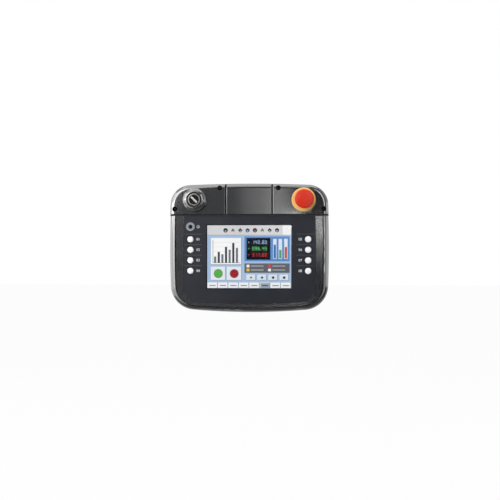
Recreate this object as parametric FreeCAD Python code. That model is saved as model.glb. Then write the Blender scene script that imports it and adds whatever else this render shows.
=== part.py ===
import FreeCAD, Part
import math
import os
from FreeCAD import Vector

# Hand-held operator panel: a two-shell moulded case with a touch display, eight function keys,
# a selector switch and an emergency stop on the front, and an enabling switch behind the left grip.
# Frame: X to the right, Z up, the front faces -Y.
# The origin is the centre of the bracket pattern on the flat back of the hump.

# Overall form, seen from the front
body_width = 217.0
body_height = 175.0
side_bow = 1490.0
top_bow = 1900.0
bottom_bow = 930.0
top_corner = 27.0
bottom_corner = 33.5

# Depths, counted from the back forwards
hump_height = 25.0
grip_depth = 13.0
front_depth = 17.0
wall = 3.0
rim_radius = 7.0
grip_radius = 9.0

# Hump on the back
hump_width = 120.0
hump_top_margin = 17.5
hump_bottom_margin = 29.5
hump_corner = 16.0
hump_edge_radius = 5.0
hump_foot_radius = 3.0
parting_reveal = 0.4
parting_reveal_depth = 0.5

# Bezel and front sheet
rim_width = 7.5
rim_end_width = 5.5
bezel_groove = 1.0
bezel_seat_depth = 4.5
ledge_thinning = 0.5
shoulder_width = 9.8
shoulder_end_width = 5.2
shoulder_dish = 0.25
lip_width = 0.8
sheet_recess = 1.0
sheet_thickness = 0.6

# Covers across the top
switch_zone_height = 41.9
cover_gap = 2.0
centre_cover_width = 60.8
deck_drop = 3.5
cover_height = 7.5
cover_wall = 2.5
cover_edge_radius = 6.5
gap_edge_radius = 0.5
gasket_width = 2.0
gasket_height = 1.5

# Display stack
display_drop = 55.6
window_width = 117.0
window_height = 88.2
touch_margin = 4.0
window_corner = 4.0
window_margin = 0.8
glass_corner = 1.0
touch_thickness = 1.8
gasket_thickness = 0.8
lcd_margin = 7.0
lcd_glass_thickness = 2.4
lcd_frame_wall = 0.6
lcd_frame_depth = 8.0
backlight_depth = 8.5
chassis_thickness = 1.2
chassis_margin = 4.5
chassis_fold = 6.0
chassis_tab_width = 10.0
chassis_vent_pitch = 32.0
chassis_vent_width = 20.0
chassis_vent_height = 60.0
chassis_vent_corner = 4.0
backlight_bays = 4
backlight_rib = 6.0

# Function keys and power lamp
key_radius = 4.1
key_rise = 0.9
key_travel = 0.8
key_pitch = 14.3
key_edge_distance = 10.2
key_column_lift = 2.35
key_count = 4
key_flange = 1.2
key_wall = 2.2
key_flange_height = 1.0
key_foot = 0.5
key_board_width = 18.4
key_board_margin = 8.0
key_board_thickness = 1.6
key_board_room = 1.6
key_pocket_rim = 1.0
key_pocket_corner = 3.0
key_crown_drop = 0.35
key_foot_share = 0.42
tact_side = 6.0
tact_height = 1.0
tact_stem_radius = 1.7
lamp_ring_radius = 5.9
lamp_lens_radius = 2.8
lamp_offset = 17.2
lamp_ring_rise = 0.4
lamp_lens_rise = 0.6
lamp_flange = 1.0
lamp_flange_height = 0.9
led_radius = 1.5
led_gap = 0.1

# Switches on the top covers
switch_edge_distance = 34.9
switch_top_distance = 22.5
switch_barrel_radius = 8.0
locknut_margin = 2.5
locknut_thickness = 3.5
contact_block_side = 20.0
contact_block_depth = 16.5
contact_block_setback = 1.5
terminal_radius = 2.0
terminal_depth = 3.5

# Emergency stop
estop_collar_radius = 16.2
estop_collar_height = 3.5
estop_flange_margin = 2.5
estop_flange_height = 1.5
estop_nose = 3.5
estop_nose_wall = 1.5
estop_chamber_wall = 1.0
estop_head_radius = 12.6
estop_head_height = 11.0
estop_head_gap = 5.5
estop_head_roof = 4.0
estop_brim_wall = 1.8
estop_travel = 4.0
plunger_radius = 4.9
plunger_shoulder = 2.0
plunger_reach = 6.5
spring_wire_radius = 0.45
spring_turns = 5

# Selector
selector_ring_lip = 0.6
selector_ring_height = 7.4
selector_collar_gap = 1.3
selector_collar_width = 5.7
selector_collar_edge = 0.7
selector_collar_fall = 2.6
selector_collar_skirt = 0.8
selector_collar_height = 8.0
rotor_radius = 6.05
rotor_bar_width = 4.4
rotor_bar_height = 4.5
rotor_recess = 3.0
pointer_width = 2.5
pointer_depth = 0.5
pointer_rise = 0.1
selector_shaft_radius = 3.3
selector_cam_lobe = 1.6
selector_cam_length = 4.0
selector_cam_setback = 2.0
selector_shaft_tail = 2.0
selector_rest_turn = 45.0

# Enabling switch behind the left grip
enable_edge_distance = 24.5
enable_z = -8.0
enable_width = 18.0
enable_length = 56.0
enable_frame_width = 4.5
enable_frame_height = 3.0
enable_rise = 6.0
enable_edge_radius = 3.5
enable_flange = 1.6
enable_travel = 5.0
enable_rod_radius = 2.5
enable_rod_reach = 2.0
enable_block_depth = 9.0
enable_leg = 5.0
enable_groove_count = 5
enable_groove_pitch = 7.0
enable_groove_radius = 2.4
enable_groove_depth = 0.7

# Cable gland under the hump
gland_setback = 14.0
gland_radius = 8.0
gland_flange = 1.3
gland_flange_height = 5.0
gland_flats = 17.0
gland_edge = 0.4
gland_spot_margin = 0.7
gland_thread_excess = 1.0
gland_neck_wall = 1.5
gland_neck_length = 6.0
gland_bore = 5.6
cable_bore = 4.5
gland_nut_length = 14.0
gland_mouth_gap = 0.3
gland_lip = 1.5
gland_dome_bend = 3.0
gland_seat_drop = 2.0
gland_locknut_height = 3.0
gland_locknut_slot = 3.0
gland_locknut_slot_depth = 1.5

# Fasteners and the bracket pattern
screw_radius = 1.5
screw_head_radius = 2.8
screw_head_height = 2.0
counterbore_radius = 3.4
cover_counterbore_depth = 5.0
case_counterbore_depth = 5.0
screw_boss_radius = 4.6
screw_hole_excess = 1.0
cover_boss_floor = 2.0
pilot_boss_radius = 3.6
case_screw_bite = 6.5
cover_screw_bite = 4.0
frame_screw_length = 5.0
cover_screw_split_distance = 7.2
cover_screw_top_distance = 6.2
cover_screw_side_distance = 7.7
cover_screw_bottom_distance = 7.2
case_screw_side_distance = 13.5
case_screw_upper_drop = 7.6
case_screw_lower_rise = 35.5
case_screw_bottom_rise = 10.5
case_screw_bottom_spacing = 15.0
case_screw_top_drop = 9.0
case_screw_top_x = 60.0
chassis_screw_inset = 5.5
chassis_screw_top_rise = 5.0
chassis_screw_bottom_drop = 12.5
bracket_pitch = 75.0
bracket_thread_radius = 2.0
insert_radius = 3.0
insert_length = 8.0

# Seal between the shells
seal_inset = 0.9
seal_width = 1.2
seal_depth = 1.3

# Main board
board_width = 124.0
board_height = 98.0
board_drop = 6.0
board_thickness = 1.6
board_head_room = 0.4
board_corner = 3.0
standoff_thread = 5.0
board_hole_margin = 6.0
standoff_flats = 5.5
processor_x = -14.0
processor_rise = 12.0
processor_side = 27.0
processor_height = 2.4
cooler_height = 8.0
cooler_margin = 2.5
cooler_foot = 2.0
cooler_fins = 8
cooler_slot_share = 0.55
terminal_count = 8
terminal_pitch = 5.0
terminal_block_width = 9.0
terminal_block_height = 8.0
terminal_block_rise = 9.0

# Clearances
slide_gap = 0.3
running_gap = 0.05
seat_gap = 0.2
end_gap = 0.5

# Levels along Y
y_grip = -hump_height
y_parting = y_grip - grip_depth
y_rim = y_parting - front_depth
y_ledge = y_rim + bezel_seat_depth
y_deck = y_rim + deck_drop
y_inside = y_ledge + wall - ledge_thinning
y_lip = y_rim + shoulder_dish
y_sheet_floor = y_lip + sheet_recess
y_sheet_face = y_sheet_floor - sheet_thickness
y_cover = y_deck - cover_height
y_cover_inside = y_cover + cover_wall
y_touch_back = y_sheet_floor + touch_thickness
y_lcd_front = y_touch_back + gasket_thickness
y_glass_front = y_lcd_front + lcd_frame_wall
y_glass_back = y_glass_front + lcd_glass_thickness
y_chassis_front = y_glass_back + backlight_depth
y_chassis_back = y_chassis_front + chassis_thickness
y_board_back = y_grip - wall - screw_head_height - board_head_room
y_board_front = y_board_back - board_thickness
standoff_length = y_board_front - y_chassis_back
y_key_ceiling = y_sheet_floor + key_wall
y_key_flange_back = y_key_ceiling + slide_gap + key_flange_height
y_key_foot = y_key_flange_back + key_foot
y_tact_top = y_key_foot + key_travel + end_gap / 2
y_key_board = y_tact_top + tact_height
y_block_front = y_inside + contact_block_setback
y_block_back = y_block_front + contact_block_depth
y_collar = y_cover - estop_collar_height
y_flange = y_collar - estop_flange_height
y_nose = y_flange - estop_nose
y_head_rim = y_flange - estop_head_gap
y_head_top = y_head_rim - estop_head_height
y_hub_end = y_nose - estop_travel - end_gap
y_hub_floor = y_head_top + estop_head_roof
y_shoulder = y_nose + estop_nose_wall + end_gap
y_ring_face = y_cover - selector_ring_height
y_rotor_seat = y_cover - cover_wall / 2
y_rotor_back = y_rotor_seat - slide_gap
y_rotor_floor = y_ring_face + rotor_recess
y_bar_top = y_rotor_floor - rotor_bar_height
y_enable_frame = y_grip + enable_frame_height
y_enable_top = y_enable_frame + enable_rise
y_enable_flange = y_grip - wall - slide_gap
y_enable_back = y_enable_flange - enable_flange
y_enable_block = y_enable_back - enable_travel - end_gap

# Places seen from the front
half_width = body_width / 2
half_height = body_height / 2
cover_bottom = half_height - switch_zone_height
main_top = cover_bottom - cover_gap
cover_split = centre_cover_width / 2 + cover_gap
sheet_side = rim_width + bezel_groove + shoulder_width
sheet_end = rim_end_width + bezel_groove + shoulder_end_width
display_z = main_top - display_drop
touch_width = window_width + 2 * touch_margin
touch_height = window_height + 2 * touch_margin
lcd_width = window_width + 2 * lcd_margin
lcd_height = window_height + 2 * lcd_margin
key_x = half_width - sheet_side - key_edge_distance
key_column_z = display_z + key_column_lift
key_places = [key_column_z + (key_count - 1 - 2 * n) / 2 * key_pitch for n in range(key_count)]
lamp_z = key_places[0] + lamp_offset
key_board_top = lamp_z + key_board_margin
key_board_bottom = key_places[-1] - key_board_margin
switch_x = half_width - switch_edge_distance
switch_z = half_height - switch_top_distance
hump_top = half_height - hump_top_margin
hump_bottom = -half_height + hump_bottom_margin
enable_x = -(half_width - enable_edge_distance)
gland_y = -gland_setback
gland_flange_radius = gland_radius + gland_flange
gland_neck_radius = gland_bore + gland_neck_wall
gland_flange_bottom = hump_bottom - gland_flange_height
gland_neck_bottom = gland_flange_bottom - gland_neck_length
gland_nut_top = gland_flange_bottom - slide_gap
gland_nut_bottom = gland_nut_top - gland_nut_length
gland_top = hump_bottom + wall + gland_locknut_height + gland_thread_excess
board_z = display_z + board_drop
chassis_width = max(lcd_width, board_width) + 2 * chassis_margin
chassis_screw_x = lcd_width / 2 - chassis_screw_inset
locknut_flats = 2 * (switch_barrel_radius + locknut_margin)
estop_flange_radius = switch_barrel_radius + estop_flange_margin
estop_chamber = switch_barrel_radius - estop_chamber_wall
selector_ring_radius = switch_barrel_radius + selector_ring_lip
selector_collar_bore = selector_ring_radius + selector_collar_gap
selector_collar_radius = selector_collar_bore + selector_collar_width
plunger_room = plunger_reach + estop_travel + 4 * end_gap
cam_radius = selector_shaft_radius + selector_cam_lobe
cam_room = selector_cam_setback + selector_cam_length + selector_shaft_tail + 4 * end_gap


def both_sides(*places):
    """Places on the right and their mirror images on the left."""
    return [(side * x, z) for side in (-1, 1) for x, z in places]


cover_screw_places = both_sides(
    (cover_split + cover_screw_split_distance, half_height - cover_screw_top_distance),
    (half_width - cover_screw_side_distance, cover_bottom + cover_screw_bottom_distance),
)
case_screw_places = both_sides(
    (half_width - case_screw_side_distance, main_top - case_screw_upper_drop),
    (half_width - case_screw_side_distance, -half_height + case_screw_lower_rise),
    (chassis_screw_x - case_screw_bottom_spacing, -half_height + case_screw_bottom_rise),
    (case_screw_top_x, half_height - case_screw_top_drop),
)
chassis_screw_places = both_sides(
    (chassis_screw_x, display_z + lcd_height / 2 + chassis_screw_top_rise),
    (chassis_screw_x, display_z - lcd_height / 2 - chassis_screw_bottom_drop),
)
board_screw_places = both_sides(
    (board_width / 2 - board_hole_margin, board_z + board_height / 2 - board_hole_margin),
    (board_width / 2 - board_hole_margin, board_z - board_height / 2 + board_hole_margin),
)
bracket_places = both_sides((bracket_pitch / 2, bracket_pitch / 2), (bracket_pitch / 2, -bracket_pitch / 2))


def box(x_from, x_to, y_from, y_to, z_from, z_to):
    """Box between two planes on each axis."""
    corner = Vector(min(x_from, x_to), min(y_from, y_to), min(z_from, z_to))
    return Part.makeBox(abs(x_to - x_from), abs(y_to - y_from), abs(z_to - z_from), corner)


def block(x, z, width, height, y_from, y_to):
    """Box centred on a place seen from the front."""
    return box(x - width / 2, x + width / 2, y_from, y_to, z - height / 2, z + height / 2)


def rod(x, z, radius, y_from, y_to):
    """Round bar along Y."""
    base = Vector(x, min(y_from, y_to), z)
    return Part.makeCylinder(radius, abs(y_to - y_from), base, Vector(0, 1, 0))


def tube(x, z, outer, inner, y_from, y_to):
    """Round ring along Y."""
    return rod(x, z, outer, y_from, y_to).cut(rod(x, z, inner, y_from, y_to))


def hexagon(x, z, flats, y_from, y_to):
    """Six-sided bar along Y, given across its flats."""
    corner = flats / math.sqrt(3)
    turns = [math.radians(60 * n) for n in range(7)]
    points = [Vector(x + corner * math.cos(t), y_from, z + corner * math.sin(t)) for t in turns]
    return Part.Face(Part.makePolygon(points)).extrude(Vector(0, y_to - y_from, 0))


def toward(start, end, distance):
    """Point at a distance from start on the line to end."""
    length = math.hypot(end[0] - start[0], end[1] - start[1])
    share = distance / length
    return (start[0] + (end[0] - start[0]) * share, start[1] + (end[1] - start[1]) * share)


def circles_meet(first, first_radius, second, second_radius):
    """Meeting point of two circles that lies further right."""
    across = (second[0] - first[0], second[1] - first[1])
    length = math.hypot(*across)
    along = (first_radius**2 - second_radius**2 + length**2) / (2 * length)
    off = math.sqrt(first_radius**2 - along**2)
    middle = toward(first, second, along)
    normal = (-across[1] / length, across[0] / length)
    if normal[0] < 0:
        normal = (-normal[0], -normal[1])
    return (middle[0] + normal[0] * off, middle[1] + normal[1] * off)


def bowed_outline(side_inset, end_inset, y):
    """Outline of the case, bowed on all four sides, moved in at the sides and at the ends."""
    right = half_width - side_inset
    top = half_height - end_inset
    corner_inset = (side_inset + end_inset) / 2
    side_radius = side_bow - side_inset
    side_centre = (right - side_radius, 0.0)
    runs = []
    for sign, bow, corner in ((1, top_bow, top_corner), (-1, bottom_bow, bottom_corner)):
        end_radius = bow - end_inset
        radius = corner - corner_inset
        end_centre = (0.0, sign * (top - end_radius))
        centre = circles_meet(end_centre, end_radius - radius, side_centre, side_radius - radius)
        on_end = toward(end_centre, centre, end_radius)
        on_side = toward(side_centre, centre, side_radius)
        halfway = ((on_end[0] + on_side[0]) / 2, (on_end[1] + on_side[1]) / 2)
        runs.append((on_end, toward(centre, halfway, radius), on_side))
    (top_end, top_bend, top_side), (low_end, low_bend, low_side) = runs

    def place(point, side=1):
        return Vector(side * point[0], y, point[1])

    def arc(first, via, last):
        return Part.Arc(first, via, last).toShape()

    edges = [
        arc(place(top_end, -1), Vector(0, y, top), place(top_end)),
        arc(place(top_end), place(top_bend), place(top_side)),
        arc(place(top_side), Vector(right, y, 0), place(low_side)),
        arc(place(low_side), place(low_bend), place(low_end)),
        arc(place(low_end), Vector(0, y, -top), place(low_end, -1)),
        arc(place(low_end, -1), place(low_bend, -1), place(low_side, -1)),
        arc(place(low_side, -1), Vector(-right, y, 0), place(top_side, -1)),
        arc(place(top_side, -1), place(top_bend, -1), place(top_end, -1)),
    ]
    return Part.Wire(edges)


def bowed_prism(side_inset, end_inset, y_from, y_to):
    """Straight solid over the case outline."""
    face = Part.Face(bowed_outline(side_inset, end_inset, y_from))
    return face.extrude(Vector(0, y_to - y_from, 0))


def bowed_ring(outer_inset, inner_inset, y_from, y_to):
    """Ring between two outlines of the case."""
    outer = bowed_prism(outer_inset, outer_inset, y_from, y_to)
    return outer.cut(bowed_prism(inner_inset, inner_inset, y_from, y_to))


def round_bar(x, z, width, height, radius, y_from, y_to):
    """Bar along Y with a round-cornered rectangular section."""
    bar = block(x, z, width, height, y_from, y_to)
    uprights = [e for e in bar.Edges if e.BoundBox.YLength > abs(y_to - y_from) / 2]
    return bar.makeFillet(min(radius, 0.499 * min(width, height)), uprights)


def edges_at(solid, y):
    """Edges of a solid that lie in a plane across Y."""
    return [e for e in solid.Edges if abs(e.BoundBox.YMin - y) < 0.01 and abs(e.BoundBox.YMax - y) < 0.01]


def softened(solid, radius, y):
    """Solid with the edges in one plane rounded."""
    return solid.makeFillet(radius, edges_at(solid, y))


def turned(x, z, start, *steps):
    """Solid turned about the line along Y through a place.

    Points are (radius, y); a step is the next point, or a pair (via, end) for an arc.
    """

    def place(point):
        return Vector(x + point[0], point[1], z)

    edges = []
    here = start
    for step in steps + (start,):
        if isinstance(step[0], tuple):
            via, end = step
            edges.append(Part.Arc(place(here), place(via), place(end)).toShape())
        else:
            end = step
            edges.append(Part.LineSegment(place(here), place(end)).toShape())
        here = end
    face = Part.Face(Part.Wire(edges))
    return face.revolve(Vector(x, 0, z), Vector(0, 1, 0), 360)


def joined(*solids):
    """One solid from several that overlap or meet."""
    whole = solids[0].multiFuse(list(solids[1:])) if len(solids) > 1 else solids[0]
    return whole.removeSplitter()


def group(solids):
    """Like pieces that share one node, each still its own solid."""
    return Part.makeCompound(list(solids))


def pan_screw(x, z, y_seat, length, way):
    """Pan-head screw whose shank points along way (1 to the back, -1 to the front)."""
    y_top = y_seat - way * screw_head_height
    y_tip = y_seat + way * length
    head = screw_head_radius
    bend = (head * 0.9, y_top + way * screw_head_height * 0.25)
    point = screw_radius * 0.4
    return turned(
        x,
        z,
        (0.0, y_top),
        (head * 0.6, y_top),
        (bend, (head, y_top + way * screw_head_height * 0.7)),
        (head, y_seat),
        (screw_radius, y_seat),
        (screw_radius, y_tip - way * point),
        (screw_radius - point, y_tip),
        (0.0, y_tip),
    )


def rear_case():
    """Back shell: grips at both sides, hump in the middle, screw pillars and insert bosses."""
    shell = softened(bowed_prism(0, 0, y_parting, y_grip), grip_radius, y_grip)
    hump_length = hump_top - hump_bottom
    hump_z = (hump_top + hump_bottom) / 2
    hump = round_bar(0, hump_z, hump_width, hump_length, hump_corner, y_grip - wall, 0)
    shell = joined(shell, softened(hump, hump_edge_radius, 0))
    footprint = hump.BoundBox
    footprint.enlarge(0.1)
    foot = [e for e in edges_at(shell, y_grip) if footprint.isInside(e.BoundBox)]
    shell = shell.makeFillet(hump_foot_radius, foot)
    y_grip_inside = y_grip - wall
    hollow = softened(bowed_prism(wall, wall, y_parting, y_grip_inside), grip_radius - wall, y_grip_inside)
    hump_hollow = round_bar(
        0,
        hump_z,
        hump_width - 2 * wall,
        hump_length - 2 * wall,
        hump_corner - wall,
        y_parting,
        -wall,
    )
    shell = shell.cut(joined(hollow, softened(hump_hollow, hump_edge_radius - wall, -wall)))
    pillars = [rod(x, z, screw_boss_radius, y_parting, y_grip_inside) for x, z in case_screw_places]
    y_insert = -insert_length - wall
    bosses = [rod(x, z, insert_radius + wall, y_insert, -wall) for x, z in bracket_places]
    shell = joined(shell, *pillars, *bosses)
    y_seat = y_grip - case_counterbore_depth
    for x, z in case_screw_places:
        shell = shell.cut(rod(x, z, counterbore_radius, y_seat, y_grip))
        shell = shell.cut(rod(x, z, screw_radius + seat_gap, y_parting, y_seat))
    for x, z in bracket_places:
        shell = shell.cut(rod(x, z, insert_radius + running_gap, -insert_length, 0))
    shell = shell.cut(bowed_ring(seal_inset, seal_inset + seal_width, y_parting, y_parting + seal_depth))
    y_reveal = y_parting + parting_reveal_depth
    shell = shell.cut(bowed_ring(-parting_reveal, parting_reveal, y_parting, y_reveal))
    shell = shell.cut(enable_outline(slide_gap, y_grip_inside, y_grip))
    hole = Part.makeCylinder(gland_radius + seat_gap, wall, Vector(0, gland_y, hump_bottom))
    spot_radius = gland_flange_radius + gland_spot_margin
    spot_face = Part.makeCylinder(spot_radius, wall, Vector(0, gland_y, hump_bottom - wall))
    return shell.cut(hole).cut(spot_face)


def case_seal():
    """Rubber ring in the groove between the shells."""
    outer = seal_inset + running_gap
    inner = seal_inset + seal_width - running_gap
    return bowed_ring(outer, inner, y_parting, y_parting + seal_depth)


def front_case():
    """Front shell: rounded rim, ledge that takes the bezel, deck that takes the covers."""
    shell = softened(bowed_prism(0, 0, y_parting, y_rim), rim_radius, y_rim)
    top_zone = box(-half_width, half_width, y_deck, y_rim, main_top, half_height + 1)
    deck_zone = box(-half_width, half_width, y_parting, y_deck, main_top, half_height + 1)
    shell = joined(shell, bowed_prism(0, 0, y_parting, y_deck).common(deck_zone))
    pocket = bowed_prism(rim_width, rim_end_width, y_ledge, y_rim)
    pocket = pocket.cut(box(-half_width, half_width, y_ledge, y_rim, main_top, half_height + 1))
    shell = shell.cut(top_zone).cut(pocket)
    shell = shell.cut(bowed_prism(wall, wall, y_parting, y_inside))
    window_reach = 2 * key_x + key_board_width + 2 * key_board_room
    window_rise = lcd_height + 2 * window_margin
    window = round_bar(0, display_z, window_reach, window_rise, window_corner, y_ledge, y_inside)
    shell = shell.cut(window)
    y_cover_boss = y_inside + cover_screw_bite + cover_boss_floor
    pillars = [rod(x, z, pilot_boss_radius, y_parting, y_inside) for x, z in case_screw_places]
    cover_bosses = [rod(x, z, pilot_boss_radius, y_cover_boss, y_inside) for x, z in cover_screw_places]
    posts = [rod(x, z, pilot_boss_radius, y_chassis_front, y_inside) for x, z in chassis_screw_places]
    shell = joined(shell, *pillars, *cover_bosses, *posts)
    bore = screw_radius + running_gap
    for x, z in case_screw_places:
        shell = shell.cut(rod(x, z, bore, y_parting, y_parting - case_screw_bite - screw_hole_excess))
    for x, z in cover_screw_places:
        shell = shell.cut(rod(x, z, bore, y_deck, y_cover_boss - screw_hole_excess))
    for x, z in chassis_screw_places:
        shell = shell.cut(rod(x, z, bore, y_chassis_front, y_chassis_back - frame_screw_length - end_gap))
    nut_room = locknut_flats / math.sqrt(3) + end_gap
    for side in (-1, 1):
        shell = shell.cut(rod(side * switch_x, switch_z, nut_room, y_deck, y_inside))
    return shell


def below_top(solid, gap):
    """What lies under the line where the covers begin, less a gap."""
    return solid.cut(box(-half_width, half_width, y_parting, y_cover, main_top - gap, half_height))


def key_and_lamp_holes(key_hole, lamp_hole, y_from, y_to):
    """Holes for the two columns of keys and for the lamp."""
    places = [(side * key_x, z) for side in (-1, 1) for z in key_places]
    holes = [rod(x, z, key_hole, y_from, y_to) for x, z in places]
    return holes + [rod(-key_x, lamp_z, lamp_hole, y_from, y_to)]


def key_column_bar(side, inset, y_from, y_to):
    """Bar over a key board's outline, moved in all round."""
    width = key_board_width - 2 * inset
    height = key_board_top - key_board_bottom - 2 * inset
    z = (key_board_top + key_board_bottom) / 2
    return round_bar(side * key_x, z, width, height, key_pocket_corner, y_from, y_to)


def display_bezel():
    """Inset frame round the display, with a shoulder that falls a little to a lip round the sheet."""
    side = rim_width + bezel_groove
    end = rim_end_width + bezel_groove
    base = bowed_prism(side, end, y_ledge, y_rim)
    foot = bowed_outline(side, end, y_rim)
    crest = bowed_outline(sheet_side - lip_width, sheet_end - lip_width, y_lip)
    dish = Part.makeLoft([foot, crest], True, True)
    frame = below_top(base.cut(dish), seat_gap)
    frame = frame.cut(bowed_prism(sheet_side, sheet_end, y_sheet_floor, y_rim))
    room = 2 * slide_gap
    opening = round_bar(
        0, display_z, touch_width + room, touch_height + room, glass_corner, y_lcd_front, y_sheet_floor
    )
    width, height = lcd_width + room, lcd_height + room
    rebate = round_bar(0, display_z, width, height, glass_corner, y_ledge, y_lcd_front)
    frame = frame.cut(opening).cut(rebate)
    for side in (-1, 1):
        frame = joined(frame, key_column_bar(side, 0.0, y_ledge, y_key_board))
        frame = frame.cut(key_column_bar(side, key_pocket_rim, y_key_ceiling, y_key_board))
    lens_hole = lamp_lens_radius + 2 * running_gap
    for hole in key_and_lamp_holes(key_radius + slide_gap, lens_hole, y_key_ceiling, y_sheet_floor):
        frame = frame.cut(hole)
    return frame


def front_sheet():
    """Film glued in the bezel's recess, cut out for the display, the keys and the lamp."""
    y_back, y_face = y_sheet_floor, y_sheet_face
    sheet = below_top(bowed_prism(sheet_side + seat_gap, sheet_end + seat_gap, y_back, y_face), seat_gap)
    sheet = sheet.cut(round_bar(0, display_z, window_width, window_height, glass_corner, y_back, y_face))
    key_hole = key_radius + slide_gap + 2 * running_gap
    ring_hole = lamp_ring_radius + 2 * running_gap
    for hole in key_and_lamp_holes(key_hole, ring_hole, y_back, y_face):
        sheet = sheet.cut(hole)
    return sheet


def cover_span(part, side):
    """Left and right ends of a cover, over the gaps beside it."""
    if part == "centre":
        return (-centre_cover_width / 2, centre_cover_width / 2)
    ends = (cover_split, half_width + 1)
    return ends if side > 0 else (-ends[1], -ends[0])


def cover_blank(span):
    """Cap over a stretch of the deck, rounded outside and hollow behind, with its screw seats."""
    x_from, x_to = span
    top = half_height + 1
    blank = softened(bowed_prism(0, 0, y_deck, y_cover), cover_edge_radius, y_cover)
    blank = blank.common(box(x_from, x_to, y_deck, y_cover, cover_bottom, top))
    straight = [e for e in edges_at(blank, y_cover) if min(e.BoundBox.XLength, e.BoundBox.ZLength) < 0.001]
    blank = blank.makeFillet(gap_edge_radius, straight)
    hollow = bowed_prism(cover_wall, cover_wall, y_deck, y_cover_inside)
    hollow = softened(hollow, cover_edge_radius - cover_wall, y_cover_inside)
    hollow = hollow.common(
        box(x_from + cover_wall, x_to - cover_wall, y_deck, y_cover_inside, cover_bottom + cover_wall, top)
    )
    cap = blank.cut(hollow)
    y_seat = y_cover + cover_counterbore_depth
    for x, z in cover_screw_places:
        if x_from < x < x_to:
            cap = joined(cap, rod(x, z, screw_boss_radius, y_deck, y_cover_inside - 0.5).common(blank))
            cap = cap.cut(rod(x, z, counterbore_radius, y_seat, y_cover - 1))
            cap = cap.cut(rod(x, z, screw_radius + seat_gap, y_deck, y_seat))
    return cap


def centre_cover():
    """Plain cap between the two switch covers."""
    return cover_blank(cover_span("centre", 0))


def left_switch_cover():
    """Cap that carries the selector, with a guard collar round its knob."""
    y_crest = y_cover - selector_collar_height
    y_root = y_cover + cover_wall / 2
    bore = selector_collar_bore
    edge = selector_collar_edge
    skirt = selector_collar_skirt
    inner = bore + edge
    outer = selector_collar_radius - skirt
    y_fall = y_crest + selector_collar_fall
    collar = turned(
        -switch_x,
        switch_z,
        (bore, y_root),
        (bore, y_crest + edge),
        ((bore + 0.3 * edge, y_crest + 0.3 * edge), (inner, y_crest)),
        ((inner + 0.55 * (outer - inner), y_crest + 0.34 * selector_collar_fall), (outer, y_fall)),
        ((outer + 0.75 * skirt, y_fall + 0.65 * skirt), (selector_collar_radius, y_fall + 1.6 * skirt)),
        (selector_collar_radius, y_root),
    )
    cap = joined(cover_blank(cover_span("side", -1)), collar)
    return cap.cut(rod(-switch_x, switch_z, switch_barrel_radius + seat_gap, y_deck, y_cover))


def right_switch_cover():
    """Cap that carries the emergency stop."""
    cap = cover_blank(cover_span("side", 1))
    return cap.cut(rod(switch_x, switch_z, switch_barrel_radius + seat_gap, y_deck, y_cover))


def cover_gaskets():
    """Foam strips on the deck, just inside the wall of each cover."""
    y_top = y_deck - gasket_height
    rings = []
    for part, side in (("side", -1), ("centre", 0), ("side", 1)):
        x_from, x_to = cover_span(part, side)
        loops = []
        for inset in (cover_wall + seat_gap, cover_wall + seat_gap + gasket_width):
            reach = box(x_from + inset, x_to - inset, y_deck, y_top, cover_bottom + inset, half_height + 1)
            loops.append(bowed_prism(inset, inset, y_deck, y_top).common(reach))
        ring = loops[0].cut(loops[1])
        for x, z in cover_screw_places:
            ring = ring.cut(rod(x, z, screw_boss_radius + seat_gap, y_deck, y_top))
        rings.extend(ring.Solids)
    return group(rings)


def cover_screws():
    """Screws sunk in the covers."""
    y_seat = y_cover + cover_counterbore_depth
    length = abs(y_seat - y_inside) + cover_screw_bite
    return group(pan_screw(x, z, y_seat, length, 1) for x, z in cover_screw_places)


def case_screws():
    """Screws that close the two shells from the back."""
    y_seat = y_grip - case_counterbore_depth
    length = abs(y_parting - y_seat) + case_screw_bite
    return group(pan_screw(x, z, y_seat, length, -1) for x, z in case_screw_places)


def touch_panel():
    """Glass under the sheet's window."""
    return round_bar(0, display_z, touch_width, touch_height, glass_corner, y_sheet_floor, y_touch_back)


def display_opening(y_from, y_to):
    """Space in front of the picture, a little larger than the sheet's window."""
    reveal = 2 * end_gap
    return block(0, display_z, window_width + reveal, window_height + reveal, y_from, y_to)


def display_gasket():
    """Foam frame between the touch panel and the display."""
    outer = round_bar(0, display_z, touch_width, touch_height, glass_corner, y_touch_back, y_lcd_front)
    return outer.cut(display_opening(y_touch_back, y_lcd_front))


def lcd_frame():
    """Folded metal frame that holds the glass on the backlight."""
    y_back = y_lcd_front + lcd_frame_depth
    skin = 2 * lcd_frame_wall
    frame = round_bar(0, display_z, lcd_width, lcd_height, 1.2, y_lcd_front, y_back)
    frame = frame.cut(block(0, display_z, lcd_width - skin, lcd_height - skin, y_glass_front, y_back))
    frame = frame.cut(display_opening(y_lcd_front, y_glass_front))
    slot_height = lcd_height / 8
    y_slot = y_back - lcd_frame_depth / 3
    for side in (-1, 1):
        slot_z = display_z + side * lcd_height / 4
        frame = frame.cut(block(0, slot_z, lcd_width + skin, slot_height, y_slot, y_back))
    return frame


def lcd_panel():
    """Liquid-crystal glass."""
    room = 2 * lcd_frame_wall + 2 * seat_gap
    return block(0, display_z, lcd_width - room, lcd_height - room, y_glass_front, y_glass_back)


def backlight_unit():
    """Moulded backlight tray, ribbed behind."""
    room = 2 * lcd_frame_wall + 2 * seat_gap
    tray = block(0, display_z, lcd_width - room, lcd_height - room, y_glass_back, y_chassis_front)
    bay_pitch = (lcd_width - room) / backlight_bays
    width = bay_pitch - backlight_rib
    height = lcd_height - 4 * backlight_rib
    y_bay = y_chassis_front - backlight_depth / 3
    for n in range(backlight_bays):
        x = (n - (backlight_bays - 1) / 2) * bay_pitch
        tray = tray.cut(round_bar(x, display_z, width, height, backlight_rib / 2, y_bay, y_chassis_front))
    return tray


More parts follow.
